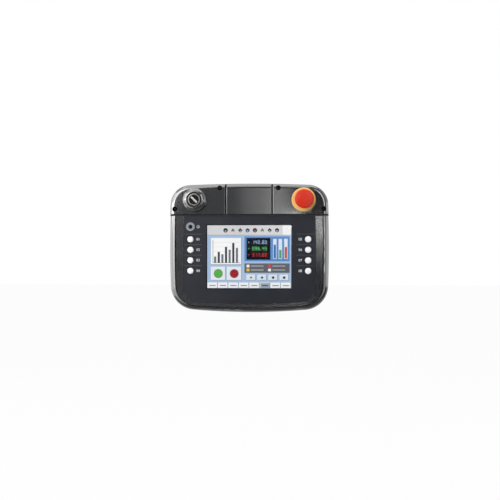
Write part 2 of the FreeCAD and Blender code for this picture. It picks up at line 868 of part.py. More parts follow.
def chassis_plate():
    """Sheet-metal plate that carries display and main board, with four screw tabs and turned-back sides."""
    width = chassis_width
    top = display_z + lcd_height / 2 + chassis_thickness
    bottom = display_z - lcd_height / 2 - chassis_margin
    plate = box(-width / 2, width / 2, y_chassis_front, y_chassis_back, bottom, top)
    tabs = []
    for x, z in chassis_screw_places:
        end = z + chassis_margin if z > display_z else z - chassis_margin
        side = chassis_tab_width / 2
        tabs.append(box(x - side, x + side, y_chassis_front, y_chassis_back, display_z, end))
    folds = []
    for side in (-1, 1):
        x = side * (width - chassis_thickness) / 2
        fold_height = top - bottom - 2 * chassis_fold
        y_fold = y_chassis_back + chassis_fold
        folds.append(block(x, (top + bottom) / 2, chassis_thickness, fold_height, y_chassis_front, y_fold))
    plate = joined(plate, *tabs, *folds)
    for x, z in chassis_screw_places:
        plate = plate.cut(rod(x, z, screw_radius + seat_gap, y_chassis_front, y_chassis_back))
    for column in (-1, 0, 1):
        x = column * chassis_vent_pitch
        width, height = chassis_vent_width, chassis_vent_height
        vent = round_bar(x, display_z, width, height, chassis_vent_corner, y_chassis_front, y_chassis_back)
        plate = plate.cut(vent)
    return plate


def frame_screws():
    """Screws of the chassis plate and of the main board."""
    chassis = [pan_screw(x, z, y_chassis_back, frame_screw_length, -1) for x, z in chassis_screw_places]
    board = [pan_screw(x, z, y_board_back, frame_screw_length, -1) for x, z in board_screw_places]
    return group(chassis + board)


def board_standoffs():
    """Hexagonal spacers riveted in the chassis plate."""
    posts = []
    for x, z in board_screw_places:
        post = hexagon(x, z, standoff_flats, y_chassis_back, y_chassis_back + standoff_length)
        bore = rod(x, z, screw_radius + running_gap, y_board_front - standoff_thread, y_board_front)
        posts.append(post.cut(bore))
    return group(posts)


def main_board():
    """Circuit board with rounded corners and four screw holes."""
    board = round_bar(0, board_z, board_width, board_height, board_corner, y_board_front, y_board_back)
    for x, z in board_screw_places:
        board = board.cut(rod(x, z, screw_radius + seat_gap, y_board_front, y_board_back))
    return board


def board_components():
    """Processor, memory, capacitors, connectors and the cable terminals on the back of the board."""
    y = y_board_back
    side = processor_side
    processor = block(processor_x, board_z + processor_rise, side, side, y, y + processor_height)
    memory = [block(22.0, board_z + 22.0 - 14.0 * n, 18.0, 8.0, y, y + 1.2) for n in range(3)]
    cans = [rod(44.0, board_z + 24.0 - 12.0 * n, 4.0, y, y + 9.0) for n in range(2)]
    sockets = []
    for x in (-50.0, 50.0):
        socket = block(x, board_z - 14.0, 5.0, 22.0, y, y + 6.0)
        sockets.append(socket.cut(block(x, board_z - 14.0, 3.0, 20.0, y + 1.5, y + 6.0)))
    terminal_z = board_z - board_height / 2 + terminal_block_rise
    y_terminals = y + terminal_block_height
    terminals = block(0, terminal_z, terminal_count * terminal_pitch, terminal_block_width, y, y_terminals)
    for n in range(terminal_count):
        x = (n - (terminal_count - 1) / 2) * terminal_pitch
        well = rod(x, terminal_z, terminal_radius - seat_gap, y_terminals - terminal_depth, y_terminals)
        terminals = terminals.cut(well)
    return group([processor] + memory + cans + sockets + [terminals])


def processor_cooler():
    """Finned aluminium block on the processor."""
    z = board_z + processor_rise
    y_foot = y_board_back + processor_height
    side = processor_side + 2 * cooler_margin
    y_tip = y_foot + cooler_height
    cooler = block(processor_x, z, side, side, y_foot, y_tip)
    fin_pitch = side / cooler_fins
    slot = fin_pitch * cooler_slot_share
    for n in range(1, cooler_fins):
        x = processor_x + (n - cooler_fins / 2) * fin_pitch
        cooler = cooler.cut(block(x, z, slot, side, y_foot + cooler_foot, y_tip))
    return cooler


def backup_battery():
    """Coin cell in its moulded clip."""
    x, z = 30.0, board_z - 24.0
    clip = tube(x, z, 11.6, 10.1, y_board_back, y_board_back + 4.0)
    clip = clip.cut(block(x, z + 10.0, 8.0, 8.0, y_board_back + 1.0, y_board_back + 4.0))
    cell = softened(rod(x, z, 10.0, y_board_back, y_board_back + 5.0), 0.5, y_board_back + 5.0)
    return group([clip, cell])


def buzzer():
    """Round sounder with a hole in its cap."""
    x, z = -36.0, board_z - 26.0
    case = softened(rod(x, z, 7.0, y_board_back, y_board_back + 7.0), 0.8, y_board_back + 7.0)
    return case.cut(rod(x, z, 1.2, y_board_back + 5.0, y_board_back + 7.0))


def key_boards():
    """Two narrow boards against the rims behind the bezel, one behind each column of keys."""
    y_back = y_key_board + key_board_thickness
    return group(key_column_bar(side, 0.0, y_key_board, y_back) for side in (-1, 1))


def tact_switches():
    """Low switches on the key boards, one under each key."""
    switches = []
    for side in (-1, 1):
        for z in key_places:
            y_base_top = y_tact_top + tact_height / 2
            base = block(side * key_x, z, tact_side, tact_side, y_base_top, y_key_board)
            switches.append(joined(base, rod(side * key_x, z, tact_stem_radius, y_tact_top, y_key_board)))
    return group(switches)


def function_key(side, z):
    """White key cap, slightly crowned, with a flange that keeps it behind the bezel."""
    y_crown = y_sheet_face - key_rise
    y_edge = y_crown + key_crown_drop
    y_flange_front = y_key_ceiling + slide_gap
    foot = key_radius * key_foot_share
    return turned(
        side * key_x,
        z,
        (0.0, y_crown),
        ((key_radius * 0.55, y_crown + key_crown_drop / 5), (key_radius - key_crown_drop, y_edge)),
        (key_radius, y_edge + key_crown_drop),
        (key_radius, y_flange_front),
        (key_radius + key_flange, y_flange_front),
        (key_radius + key_flange, y_key_flange_back),
        (foot, y_key_flange_back),
        (foot, y_key_foot),
        (0.0, y_key_foot),
    )


def power_lamp_ring():
    """Grey ring round the lamp, glued on the bezel."""
    y_face = y_sheet_face - lamp_ring_rise
    bore = lamp_lens_radius + 2 * running_gap
    ring = tube(-key_x, lamp_z, lamp_ring_radius, bore, y_face, y_sheet_floor)
    return softened(ring, lamp_ring_rise * 0.6, y_face)


def power_lamp_lens():
    """Dark lens with a light pipe back to the diode."""
    y_crown = y_sheet_face - lamp_lens_rise
    y_flange = y_key_ceiling + running_gap
    y_end = y_flange + lamp_flange_height
    brim = lamp_lens_radius + lamp_flange
    return turned(
        -key_x,
        lamp_z,
        (0.0, y_crown),
        ((lamp_lens_radius * 0.6, y_crown + 0.1), (lamp_lens_radius, y_crown + 0.5)),
        (lamp_lens_radius, y_flange),
        (brim, y_flange),
        (brim, y_end),
        (0.0, y_end),
    )


def power_led():
    """Light-emitting diode on the left key board."""
    y_front = y_key_ceiling + running_gap + lamp_flange_height + led_gap
    y_foot = y_key_board - led_radius / 2
    foot = block(-key_x, lamp_z, 3.4 * led_radius, 2.3 * led_radius, y_foot, y_key_board)
    dome = rod(-key_x, lamp_z, led_radius, y_front, y_key_board)
    return joined(foot, dome)


def locknut(x):
    """Six-sided nut that clamps a switch behind the cover's wall."""
    y_back = y_cover_inside + locknut_thickness
    nut = hexagon(x, switch_z, locknut_flats, y_cover_inside, y_back)
    return nut.cut(rod(x, switch_z, switch_barrel_radius + running_gap, y_cover_inside, y_back))


def contact_block(x, bore, depth):
    """Moulded block with the switch contacts, and four terminal wells at its back."""
    body = round_bar(x, switch_z, contact_block_side, contact_block_side, 2.0, y_block_front, y_block_back)
    body = body.cut(rod(x, switch_z, bore, y_block_front, y_block_front + depth))
    y_well = y_block_back - terminal_depth
    for side in (-1, 1):
        for end in (-1, 1):
            well_x = x + side * contact_block_side * 0.32
            well_z = switch_z + end * contact_block_side * 0.32
            body = body.cut(rod(well_x, well_z, terminal_radius, y_well, y_block_back))
    return body


def estop_collar():
    """Yellow ring between the cover and the switch."""
    ring = turned(
        switch_x,
        switch_z,
        (switch_barrel_radius + seat_gap, y_cover),
        (estop_collar_radius, y_cover),
        (estop_collar_radius, y_collar + 1.4),
        ((estop_collar_radius - 0.4, y_collar + 0.4), (estop_collar_radius - 1.4, y_collar)),
        (switch_barrel_radius + seat_gap, y_collar),
    )
    return ring


def estop_barrel():
    """Round switch body: flange on the collar, nose that guides the plunger, spring chamber behind."""
    guide = plunger_radius + slide_gap
    return turned(
        switch_x,
        switch_z,
        (guide, y_nose),
        (switch_barrel_radius - 0.6, y_nose),
        (switch_barrel_radius, y_nose + 0.6),
        (switch_barrel_radius, y_flange),
        (estop_flange_radius - 0.5, y_flange),
        (estop_flange_radius, y_flange + 0.5),
        (estop_flange_radius, y_collar),
        (switch_barrel_radius, y_collar),
        (switch_barrel_radius, y_block_front),
        (estop_chamber, y_block_front),
        (estop_chamber, y_nose + estop_nose_wall),
        (guide, y_nose + estop_nose_wall),
    )


def estop_plunger():
    """Stem that carries the head, with a shoulder for the spring."""
    shoulder = estop_chamber - slide_gap
    y_tip = y_block_front + plunger_reach
    return turned(
        switch_x,
        switch_z,
        (0.0, y_hub_floor + 0.3),
        (plunger_radius, y_hub_floor + 0.3),
        (plunger_radius, y_shoulder),
        (shoulder, y_shoulder),
        (shoulder, y_shoulder + plunger_shoulder),
        (plunger_radius, y_shoulder + plunger_shoulder),
        (plunger_radius, y_tip - 1.0),
        (plunger_radius - 1.0, y_tip),
        (0.0, y_tip),
    )


def estop_spring():
    """Coil spring between the plunger's shoulder and the contact block."""
    y_start = y_shoulder + plunger_shoulder + spring_wire_radius + seat_gap
    length = y_block_front - spring_wire_radius - seat_gap - y_start
    radius = (plunger_radius + estop_chamber) / 2
    helix = Part.makeHelix(length / spring_turns, length, radius)
    section = Part.Wire(Part.makeCircle(spring_wire_radius, Vector(radius, 0, 0), Vector(0, 1, 0)))
    coil = Part.Wire(helix).makePipeShell([section], True, True)
    coil.rotate(Vector(0, 0, 0), Vector(1, 0, 0), -90)
    coil.translate(Vector(switch_x, y_start, switch_z))
    return coil


def estop_mushroom():
    """Red head, hollow under its brim, that turns on the plunger to release."""
    brim = estop_head_radius
    y_widest = y_head_top + 3.0
    y_roof = y_hub_floor
    neck = brim - 2.0
    hub = plunger_radius + estop_brim_wall
    return turned(
        switch_x,
        switch_z,
        (0.0, y_head_top),
        ((brim * 0.45, y_head_top + 0.25), (brim - 2.6, y_head_top + 0.9)),
        ((brim - 0.6, y_head_top + 1.7), (brim, y_widest)),
        ((brim - 0.4, y_widest + 4.0), (neck, y_head_rim)),
        (neck - estop_brim_wall, y_head_rim),
        (neck - estop_brim_wall, y_roof),
        (hub, y_roof),
        (hub, y_hub_end),
        (plunger_radius + running_gap, y_hub_end),
        (plunger_radius + running_gap, y_hub_floor),
        (0.0, y_hub_floor),
    )


def selector_bezel():
    """Silver ring and threaded barrel, turned in one piece."""
    pocket = rotor_radius + slide_gap
    barrel = switch_barrel_radius - running_gap
    return turned(
        -switch_x,
        switch_z,
        (pocket, y_ring_face + 0.3),
        (pocket + 0.3, y_ring_face),
        (selector_ring_radius - 0.9, y_ring_face),
        ((selector_ring_radius - 0.25, y_ring_face + 0.25), (selector_ring_radius, y_ring_face + 0.9)),
        (selector_ring_radius, y_cover),
        (barrel, y_cover),
        (barrel, y_block_front),
        (selector_shaft_radius + running_gap, y_block_front),
        (selector_shaft_radius + running_gap, y_rotor_seat),
        (pocket, y_rotor_seat),
    )


def turned_bar(width, length, y_from, y_to):
    """Bar across the rotor, leaning as the selector rests."""
    bar = block(0, 0, width, length, y_from, y_to)
    bar.rotate(Vector(0, 0, 0), Vector(0, 1, 0), -selector_rest_turn)
    bar.translate(Vector(-switch_x, 0, switch_z))
    return bar


def selector_knob():
    """Black rotor with a raised handle bar, slotted for the pointer."""
    disc = rod(-switch_x, switch_z, rotor_radius, y_rotor_back, y_rotor_floor)
    reach = rod(-switch_x, switch_z, rotor_radius, y_rotor_back, y_bar_top)
    bar = turned_bar(rotor_bar_width, 3 * rotor_radius, y_rotor_back, y_bar_top).common(reach)
    bar = softened(bar, 0.5, y_bar_top)
    slot_width = pointer_width + 2 * running_gap
    slot = turned_bar(slot_width, 3 * rotor_radius, y_bar_top, y_bar_top + pointer_depth)
    return joined(disc, bar).cut(slot)


def selector_pointer():
    """Light strip let into the handle bar."""
    y_face = y_bar_top - pointer_rise
    y_floor = y_bar_top + pointer_depth
    reach = rod(-switch_x, switch_z, rotor_radius - end_gap, y_face, y_floor)
    return turned_bar(pointer_width, 3 * rotor_radius, y_face, y_floor).common(reach)


def selector_shaft():
    """Shaft behind the rotor with the cam that works the contacts."""
    y_cam = y_block_front + selector_cam_setback
    y_cam_end = y_cam + selector_cam_length
    y_tail = y_cam_end + selector_shaft_tail
    shaft = rod(-switch_x, switch_z, selector_shaft_radius, y_rotor_back, y_tail)
    cam = rod(-switch_x, switch_z, cam_radius, y_cam, y_cam_end)
    flat = block(-switch_x, switch_z + cam_radius, 2 * cam_radius, selector_cam_lobe, y_cam, y_cam_end)
    return joined(shaft, cam.cut(flat))


def enable_outline(margin, y_from, y_to):
    """Bar with the enabling button's round-ended outline, widened by a margin."""
    width = enable_width + 2 * margin
    return round_bar(enable_x, enable_z, width, enable_length + 2 * margin, width / 2, y_from, y_to)


def enable_frame():
    """Moulded frame round the enabling button, on the back of the left grip."""
    outer = enable_outline(enable_frame_width, y_grip, y_enable_frame)
    outer = softened(outer, enable_frame_height * 0.6, y_enable_frame)
    return outer.cut(enable_outline(slide_gap, y_grip, y_enable_frame))


def enable_button():
    """Long rubber-faced button with finger grooves, kept in the case by a flange."""
    bar = softened(enable_outline(0, y_enable_flange, y_enable_top), enable_edge_radius, y_enable_top)
    y_groove = y_enable_top + enable_groove_radius - enable_groove_depth
    for n in range(enable_groove_count):
        z = enable_z + (n - (enable_groove_count - 1) / 2) * enable_groove_pitch
        start = Vector(enable_x - enable_width, y_groove, z)
        bar = bar.cut(Part.makeCylinder(enable_groove_radius, 2 * enable_width, start, Vector(1, 0, 0)))
    return joined(bar, enable_outline(enable_flange, y_enable_back, y_enable_flange))


def enable_plunger():
    """Pin behind the button that works the contacts."""
    return rod(enable_x, enable_z, enable_rod_radius, y_enable_block - enable_rod_reach, y_enable_back)


def enable_contact_block():
    """Three-position contact block, on two legs that stand on the inside of the rear case."""
    reach = enable_length + 2 * enable_flange + 2.0
    y_front = y_enable_block - enable_block_depth
    y_back = y_enable_block
    body = round_bar(enable_x, enable_z, enable_width - 2.0, reach + 2 * enable_leg, 2.0, y_front, y_back)
    y_bore = y_back - enable_rod_reach - enable_travel - end_gap
    body = body.cut(rod(enable_x, enable_z, enable_rod_radius + slide_gap, y_bore, y_back))
    legs = []
    for end in (-1, 1):
        z = enable_z + end * (reach + enable_leg) / 2
        legs.append(block(enable_x, z, enable_width - 6.0, enable_leg, y_enable_block - 1.0, y_grip - wall))
    return joined(body, *legs)


def upright(solid):
    """Solid made along Y, stood on the gland's upright axis."""
    solid.rotate(Vector(0, 0, 0), Vector(1, 0, 0), 90)
    solid.translate(Vector(0, gland_y, 0))
    return solid


def gland_turned(start, *steps):
    """Solid turned about the gland's upright axis; points are (radius, z)."""
    return upright(turned(0, 0, start, *steps))


def spanner_flats(solid, z_from, z_to):
    """Gland piece with six flats cut on a stretch of its height."""
    round_stock = rod(0, 0, 2 * gland_flange_radius, z_from, z_to)
    return solid.cut(upright(round_stock.cut(hexagon(0, 0, gland_flats, z_from, z_to))))


def gland_body():
    """Cable gland through the hump's lower wall: thread inside, six-sided collar and neck outside."""
    body = gland_turned(
        (gland_bore, gland_top),
        (gland_radius, gland_top),
        (gland_radius, hump_bottom),
        (gland_flange_radius - gland_edge, hump_bottom),
        (gland_flange_radius, hump_bottom - gland_edge),
        (gland_flange_radius, gland_flange_bottom + gland_edge),
        (gland_flange_radius - gland_edge, gland_flange_bottom),
        (gland_neck_radius, gland_flange_bottom),
        (gland_neck_radius, gland_neck_bottom),
        (gland_bore, gland_neck_bottom),
    )
    return spanner_flats(body, gland_flange_bottom, hump_bottom)


def gland_nut():
    """Domed six-sided nut that presses the seal round the cable."""
    inside = gland_neck_radius + running_gap
    outside = gland_flange_radius - gland_edge / 2
    dome_top = (gland_nut_top + gland_nut_bottom) / 2
    mouth = cable_bore + gland_mouth_gap
    nut = gland_turned(
        (inside, gland_nut_top),
        (outside - gland_edge, gland_nut_top),
        (outside, gland_nut_top - gland_edge),
        (outside, dome_top),
        (
            (outside - gland_lip / 2, gland_nut_bottom + gland_dome_bend),
            (mouth + gland_lip, gland_nut_bottom),
        ),
        (mouth, gland_nut_bottom),
        (mouth, gland_nut_bottom + gland_lip * 0.8),
        (inside, gland_nut_bottom + gland_lip * 0.8 + gland_seat_drop),
    )
    return spanner_flats(nut, gland_nut_bottom, gland_nut_top)


def gland_seal():
    """Rubber ring between the gland's neck and the nut's dome."""
    outside = gland_neck_radius - 2 * running_gap
    top = gland_neck_bottom - 2 * running_gap
    bottom = gland_nut_bottom + gland_lip + 2 * running_gap
    tip = cable_bore + end_gap
    return gland_turned(
        (cable_bore, top),
        (outside, top),
        (outside, bottom + gland_seat_drop - 2 * running_gap),
        (tip, bottom),
        (cable_bore, bottom),
    )


def gland_locknut():
    """Slotted ring nut inside the hump."""
    top = hump_bottom + wall + gland_locknut_height
    nut = gland_turned(
        (gland_radius + running_gap, top),
        (gland_flange_radius, top),
        (gland_flange_radius, hump_bottom + wall),
        (gland_radius + running_gap, hump_bottom + wall),
    )
    for turn in (45, 135):
        reach = 2 * gland_flange_radius
        slot = block(0, 0, gland_locknut_slot, 2 * reach, top - gland_locknut_slot_depth, top)
        slot.rotate(Vector(0, 0, 0), Vector(0, 1, 0), turn)
        nut = nut.cut(upright(slot))
    return nut


def mount_inserts():
    """Brass inserts for the bracket screws."""
    return group(
        tube(x, z, insert_radius, bracket_thread_radius, -insert_length, 0) for x, z in bracket_places
    )


nodes = {
    "rear_case": rear_case(),
    "front_case": front_case(),
    "case_seal": case_seal(),
    "case_screws": case_screws(),
    "display_bezel": display_bezel(),
    "front_sheet": front_sheet(),
    "left_switch_cover": left_switch_cover(),
    "centre_cover": centre_cover(),
    "right_switch_cover": right_switch_cover(),
    "cover_gaskets": cover_gaskets(),
    "cover_screws": cover_screws(),
    "touch_panel": touch_panel(),
    "display_gasket": display_gasket(),
    "lcd_panel": lcd_panel(),
    "lcd_frame": lcd_frame(),
    "backlight_unit": backlight_unit(),
    "chassis_plate": chassis_plate(),
    "frame_screws": frame_screws(),
    "board_standoffs": board_standoffs(),
    "main_board": main_board(),
    "board_components": board_components(),
    "processor_cooler": processor_cooler(),
    "backup_battery": backup_battery(),
    "buzzer": buzzer(),
    "key_boards": key_boards(),
    "tact_switches": tact_switches(),
    "power_lamp_ring": power_lamp_ring(),
    "power_lamp_lens": power_lamp_lens(),
    "power_led": power_led(),
    "estop_collar": estop_collar(),
    "estop_barrel": estop_barrel(),
    "estop_locknut": locknut(switch_x),
    "estop_contact_block": contact_block(switch_x, plunger_radius + slide_gap, plunger_room),
    "estop_plunger": estop_plunger(),
    "estop_spring": estop_spring(),
    "estop_mushroom": estop_mushroom(),
    "selector_bezel": selector_bezel(),
    "selector_locknut": locknut(-switch_x),
    "selector_contact_block": contact_block(-switch_x, cam_radius + end_gap, cam_room),
    "selector_knob": selector_knob(),
    "selector_pointer": selector_pointer(),
    "selector_shaft": selector_shaft(),
    "enable_frame": enable_frame(),
    "enable_button": enable_button(),
    "enable_plunger": enable_plunger(),
    "enable_contact_block": enable_contact_block(),
    "gland_body": gland_body(),
    "gland_nut": gland_nut(),
    "gland_seal": gland_seal(),
    "gland_locknut": gland_locknut(),
    "mount_inserts": mount_inserts(),
}
for n, (side, z) in enumerate([(side, z) for side in (-1, 1) for z in key_places]):
    nodes["function_key_%d" % (n + 1)] = function_key(side, z)

os.makedirs("parts", exist_ok=True)
for name, shape in nodes.items():
    shape.exportStep("parts/%s.step" % name)
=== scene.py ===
import math

import bmesh
import bpy
from mathutils import Matrix, Vector


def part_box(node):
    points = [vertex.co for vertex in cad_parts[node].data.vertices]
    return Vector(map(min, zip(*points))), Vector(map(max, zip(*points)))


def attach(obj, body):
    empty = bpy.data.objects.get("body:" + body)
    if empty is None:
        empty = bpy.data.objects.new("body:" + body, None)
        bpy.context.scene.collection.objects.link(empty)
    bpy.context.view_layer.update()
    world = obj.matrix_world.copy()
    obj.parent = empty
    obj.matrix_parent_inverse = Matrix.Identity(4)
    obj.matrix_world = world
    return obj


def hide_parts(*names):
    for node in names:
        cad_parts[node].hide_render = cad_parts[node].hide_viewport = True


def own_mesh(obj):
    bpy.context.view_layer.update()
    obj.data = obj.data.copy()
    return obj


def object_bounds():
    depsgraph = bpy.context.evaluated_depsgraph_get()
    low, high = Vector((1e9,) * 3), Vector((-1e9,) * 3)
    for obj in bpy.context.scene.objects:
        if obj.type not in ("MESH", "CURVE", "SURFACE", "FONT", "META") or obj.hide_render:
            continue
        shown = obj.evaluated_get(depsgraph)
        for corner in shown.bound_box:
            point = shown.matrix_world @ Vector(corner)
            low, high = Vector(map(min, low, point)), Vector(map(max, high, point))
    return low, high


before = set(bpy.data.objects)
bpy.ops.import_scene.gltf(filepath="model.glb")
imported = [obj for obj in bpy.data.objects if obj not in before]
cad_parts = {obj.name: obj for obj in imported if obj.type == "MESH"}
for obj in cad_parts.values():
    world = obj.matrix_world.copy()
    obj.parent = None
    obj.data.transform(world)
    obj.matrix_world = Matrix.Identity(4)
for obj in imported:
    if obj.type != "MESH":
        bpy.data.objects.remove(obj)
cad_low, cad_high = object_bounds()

# Front shell, rear shell and display bezel
# Three ABS mouldings in near-black grey. The shells are screwed together from the back and the bezel
# drops into the front one. The front ones come satin from the mould, the rear one with a spark grain.
MM = 0.001


def linear(hex_colour):
    """sRGB hex value as linear red, green, blue and alpha."""
    shades = [int(hex_colour[n:n + 2], 16) / 255 for n in (1, 3, 5)]
    return [c / 12.92 if c <= 0.04045 else ((c + 0.055) / 1.055) ** 2.4 for c in shades] + [1.0]


def add(tree, kind, inputs=None, **settings):
    """Adds a node, sets its properties, and links or sets its inputs by name or number.

    A node that is given for an input stands for its own first output.
    """
    node = tree.nodes.new(kind)
    for name, value in settings.items():
        setattr(node, name, value)
    for key, value in (inputs or {}).items():
        source = value.outputs[0] if isinstance(value, bpy.types.Node) else value
        if isinstance(source, bpy.types.NodeSocket):
            tree.links.new(source, node.inputs[key])
        else:
            node.inputs[key].default_value = source
    return node


def surface(name, shader_inputs):
    """Material whose shader inputs are worked out from its object coordinates."""
    material = bpy.data.materials.new(name)
    material.use_nodes = True
    tree = material.node_tree
    tree.nodes.clear()
    place = add(tree, "ShaderNodeTexCoord").outputs["Object"]
    shader = add(tree, "ShaderNodeBsdfPrincipled", shader_inputs(tree, place))
    add(tree, "ShaderNodeOutputMaterial", {"Surface": shader})
    return material


def mottle(tree, place, size_mm, low, high, detail=2.0):
    """Noise of a real feature size, spread between two values."""
    pattern = {"Vector": place, "Scale": 1 / (size_mm * MM), "Detail": detail}
    noise = add(tree, "ShaderNodeTexNoise", pattern)
    spread = {"Value": noise, "From Min": 0.3, "From Max": 0.7, "To Min": low, "To Max": high}
    return add(tree, "ShaderNodeMapRange", spread)


def clouded(tree, place, size_mm, dark, light, detail=2.0):
    """Colour that wanders between two hex shades over patches of a real size."""
    shades = {0: mottle(tree, place, size_mm, 0.0, 1.0, detail), 6: linear(dark), 7: linear(light)}
    return add(tree, "ShaderNodeMix", shades, data_type="RGBA").outputs[2]


def with_painted_shade(tree, shade_share, values):
    """Shader inputs with painted shade, a flat rough black, where the share is 1."""
    painted_shade_black, painted_shade_roughness = linear("#0b0b0c"), 0.9
    # Painted shade: flat black and high roughness where the mask is 1
    colour = {0: shade_share, 6: values["Base Color"], 7: painted_shade_black}
    rough = {0: shade_share, 2: values["Roughness"], 3: painted_shade_roughness}
    return {
        **values,
        "Base Color": add(tree, "ShaderNodeMix", colour, data_type="RGBA").outputs[2],
        "Roughness": add(tree, "ShaderNodeMix", rough),
    }


CLOUD_MM = 45.0
GLOSS_SPREAD = 0.15


def moulded_plastic(name, dark, light, roughness, grain_mm, grain_depth_mm, shade_share=None, **constants):
    """Moulded polymer: cloudy colour, grain from the mould, gloss that varies with the grain, and
    painted shade where a mask is given.

    The grain is given as it is drawn, coarser than the real 0.1 to 0.3 mm, so that it shows.
    """

    def inputs(tree, place):
        grain = mottle(tree, place, grain_mm, 0.0, 1.0)
        bump = {"Height": grain, "Strength": 0.6, "Distance": grain_depth_mm * MM}
        smoothest, roughest = (1 - GLOSS_SPREAD) * roughness, (1 + GLOSS_SPREAD) * roughness
        values = {
            "Base Color": clouded(tree, place, CLOUD_MM, dark, light, 4.0),
            "Roughness": mottle(tree, place, 3 * grain_mm, smoothest, roughest),
            "Normal": add(tree, "ShaderNodeBump", bump),
            **constants,
        }
        return with_painted_shade(tree, shade_share(tree, place), values) if shade_share else values

    return surface(name, inputs)


def coat(material, *names):
    """Gives whole CAD nodes one material."""
    for name in names:
        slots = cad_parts[name].data.materials
        slots.clear()
        slots.append(material)


COVER_DECK = -51.5 * MM
BEZEL_LEDGE = -50.5 * MM
LEVEL_MARGIN = 0.06 * MM


def recess_floors(tree, place):
    """1 on the flats under the covers and under the bezel, at the bottom of the gaps, where shade is
    painted.
    """
    depth = add(tree, "ShaderNodeSeparateXYZ", {0: place}).outputs["Y"]
    deck, ledge = (
        add(tree, "ShaderNodeMath", {0: depth, 1: level, 2: LEVEL_MARGIN}, operation="COMPARE")
        for level in (COVER_DECK, BEZEL_LEDGE)
    )
    return add(tree, "ShaderNodeMath", {0: deck, 1: ledge}, operation="MAXIMUM")


# The grain is 0.3 mm on the real shells and is drawn at 0.9 mm, so that it shows
SHELL_GRAIN_MM = 0.9
case_gloss = {"IOR": 1.7, "Specular IOR Level": 1.0}
# The front shells carry painted shade, a flat black, on the flats at the bottom of the gaps
front_abs = moulded_plastic(
    "satin_abs", "#202124", "#27282b", 0.17, SHELL_GRAIN_MM, 0.004, recess_floors, **case_gloss
)
rear_abs = moulded_plastic(
    "spark_grained_abs", "#25262a", "#2d2e31", 0.34, SHELL_GRAIN_MM, 0.02, IOR=1.53
)
coat(front_abs, "front_case", "display_bezel")
coat(rear_abs, "rear_case")

# Seal between the shells, cover gaskets and display gasket
# The case seal is a matt black ring of moulded EPDM in a groove of the rear shell. The gaskets are
# die-cut closed-cell foam, stuck down by their own adhesive.
seal_rubber = moulded_plastic("epdm_rubber", "#17181a", "#202124", 0.72, 0.6, 0.02)


def foam_inputs(tree, place):
    """Closed cells of about 0.7 mm, seen as small pits."""
    pits = {"Vector": place, "Scale": 1 / (0.7 * MM)}
    cells = add(tree, "ShaderNodeTexVoronoi", pits).outputs["Distance"]
    bump = {"Height": cells, "Strength": 0.8, "Distance": 0.15 * MM}
    shades = {0: cells, 6: linear("#4c4e52"), 7: linear("#303236")}
    return {
        "Base Color": add(tree, "ShaderNodeMix", shades, data_type="RGBA").outputs[2],
        "Roughness": 0.95,
        "Normal": add(tree, "ShaderNodeBump", bump),
    }


gasket_foam = surface("closed_cell_foam", foam_inputs)
coat(seal_rubber, "case_seal")
coat(gasket_foam, "cover_gaskets", "display_gasket")

# Case screws and cover screws
# Pan-head steel screws with a cross recess, sunk in counterbores: eight zinc-plated ones close the
# shells from the back and four black-passivated ones hold the top covers from the front.
SCREW_HEAD_RADIUS = 2.8 * MM
SCREW_HEAD_HEIGHT = 2.0 * MM
SCREW_SHANK_RADIUS = 1.5 * MM
SCREW_RECESS_LENGTH = 3.4 * MM
SCREW_RECESS_WIDTH = 0.75 * MM
SCREW_RECESS_DEPTH = 1.2 * MM
SCREW_DOME_SHARE = 0.4
SCREW_CREASE = math.radians(35)
SCREW_SEED = 7
FACING_FRONT = Matrix.Rotation(math.pi / 2, 4, "X")
FACING_BACK = Matrix.Rotation(-math.pi / 2, 4, "X")


def node_tree(name, inputs):
    """Geometry Nodes tree with named inputs; returns the tree and its inputs."""
    tree = bpy.data.node_groups.new(name, "GeometryNodeTree")
    for label, kind in {"Geometry": "NodeSocketGeometry", **inputs}.items():
        tree.interface.new_socket(label, in_out="INPUT", socket_type=kind)
    tree.interface.new_socket("Geometry", in_out="OUTPUT", socket_type="NodeSocketGeometry")
    return tree, add(tree, "NodeGroupInput").outputs


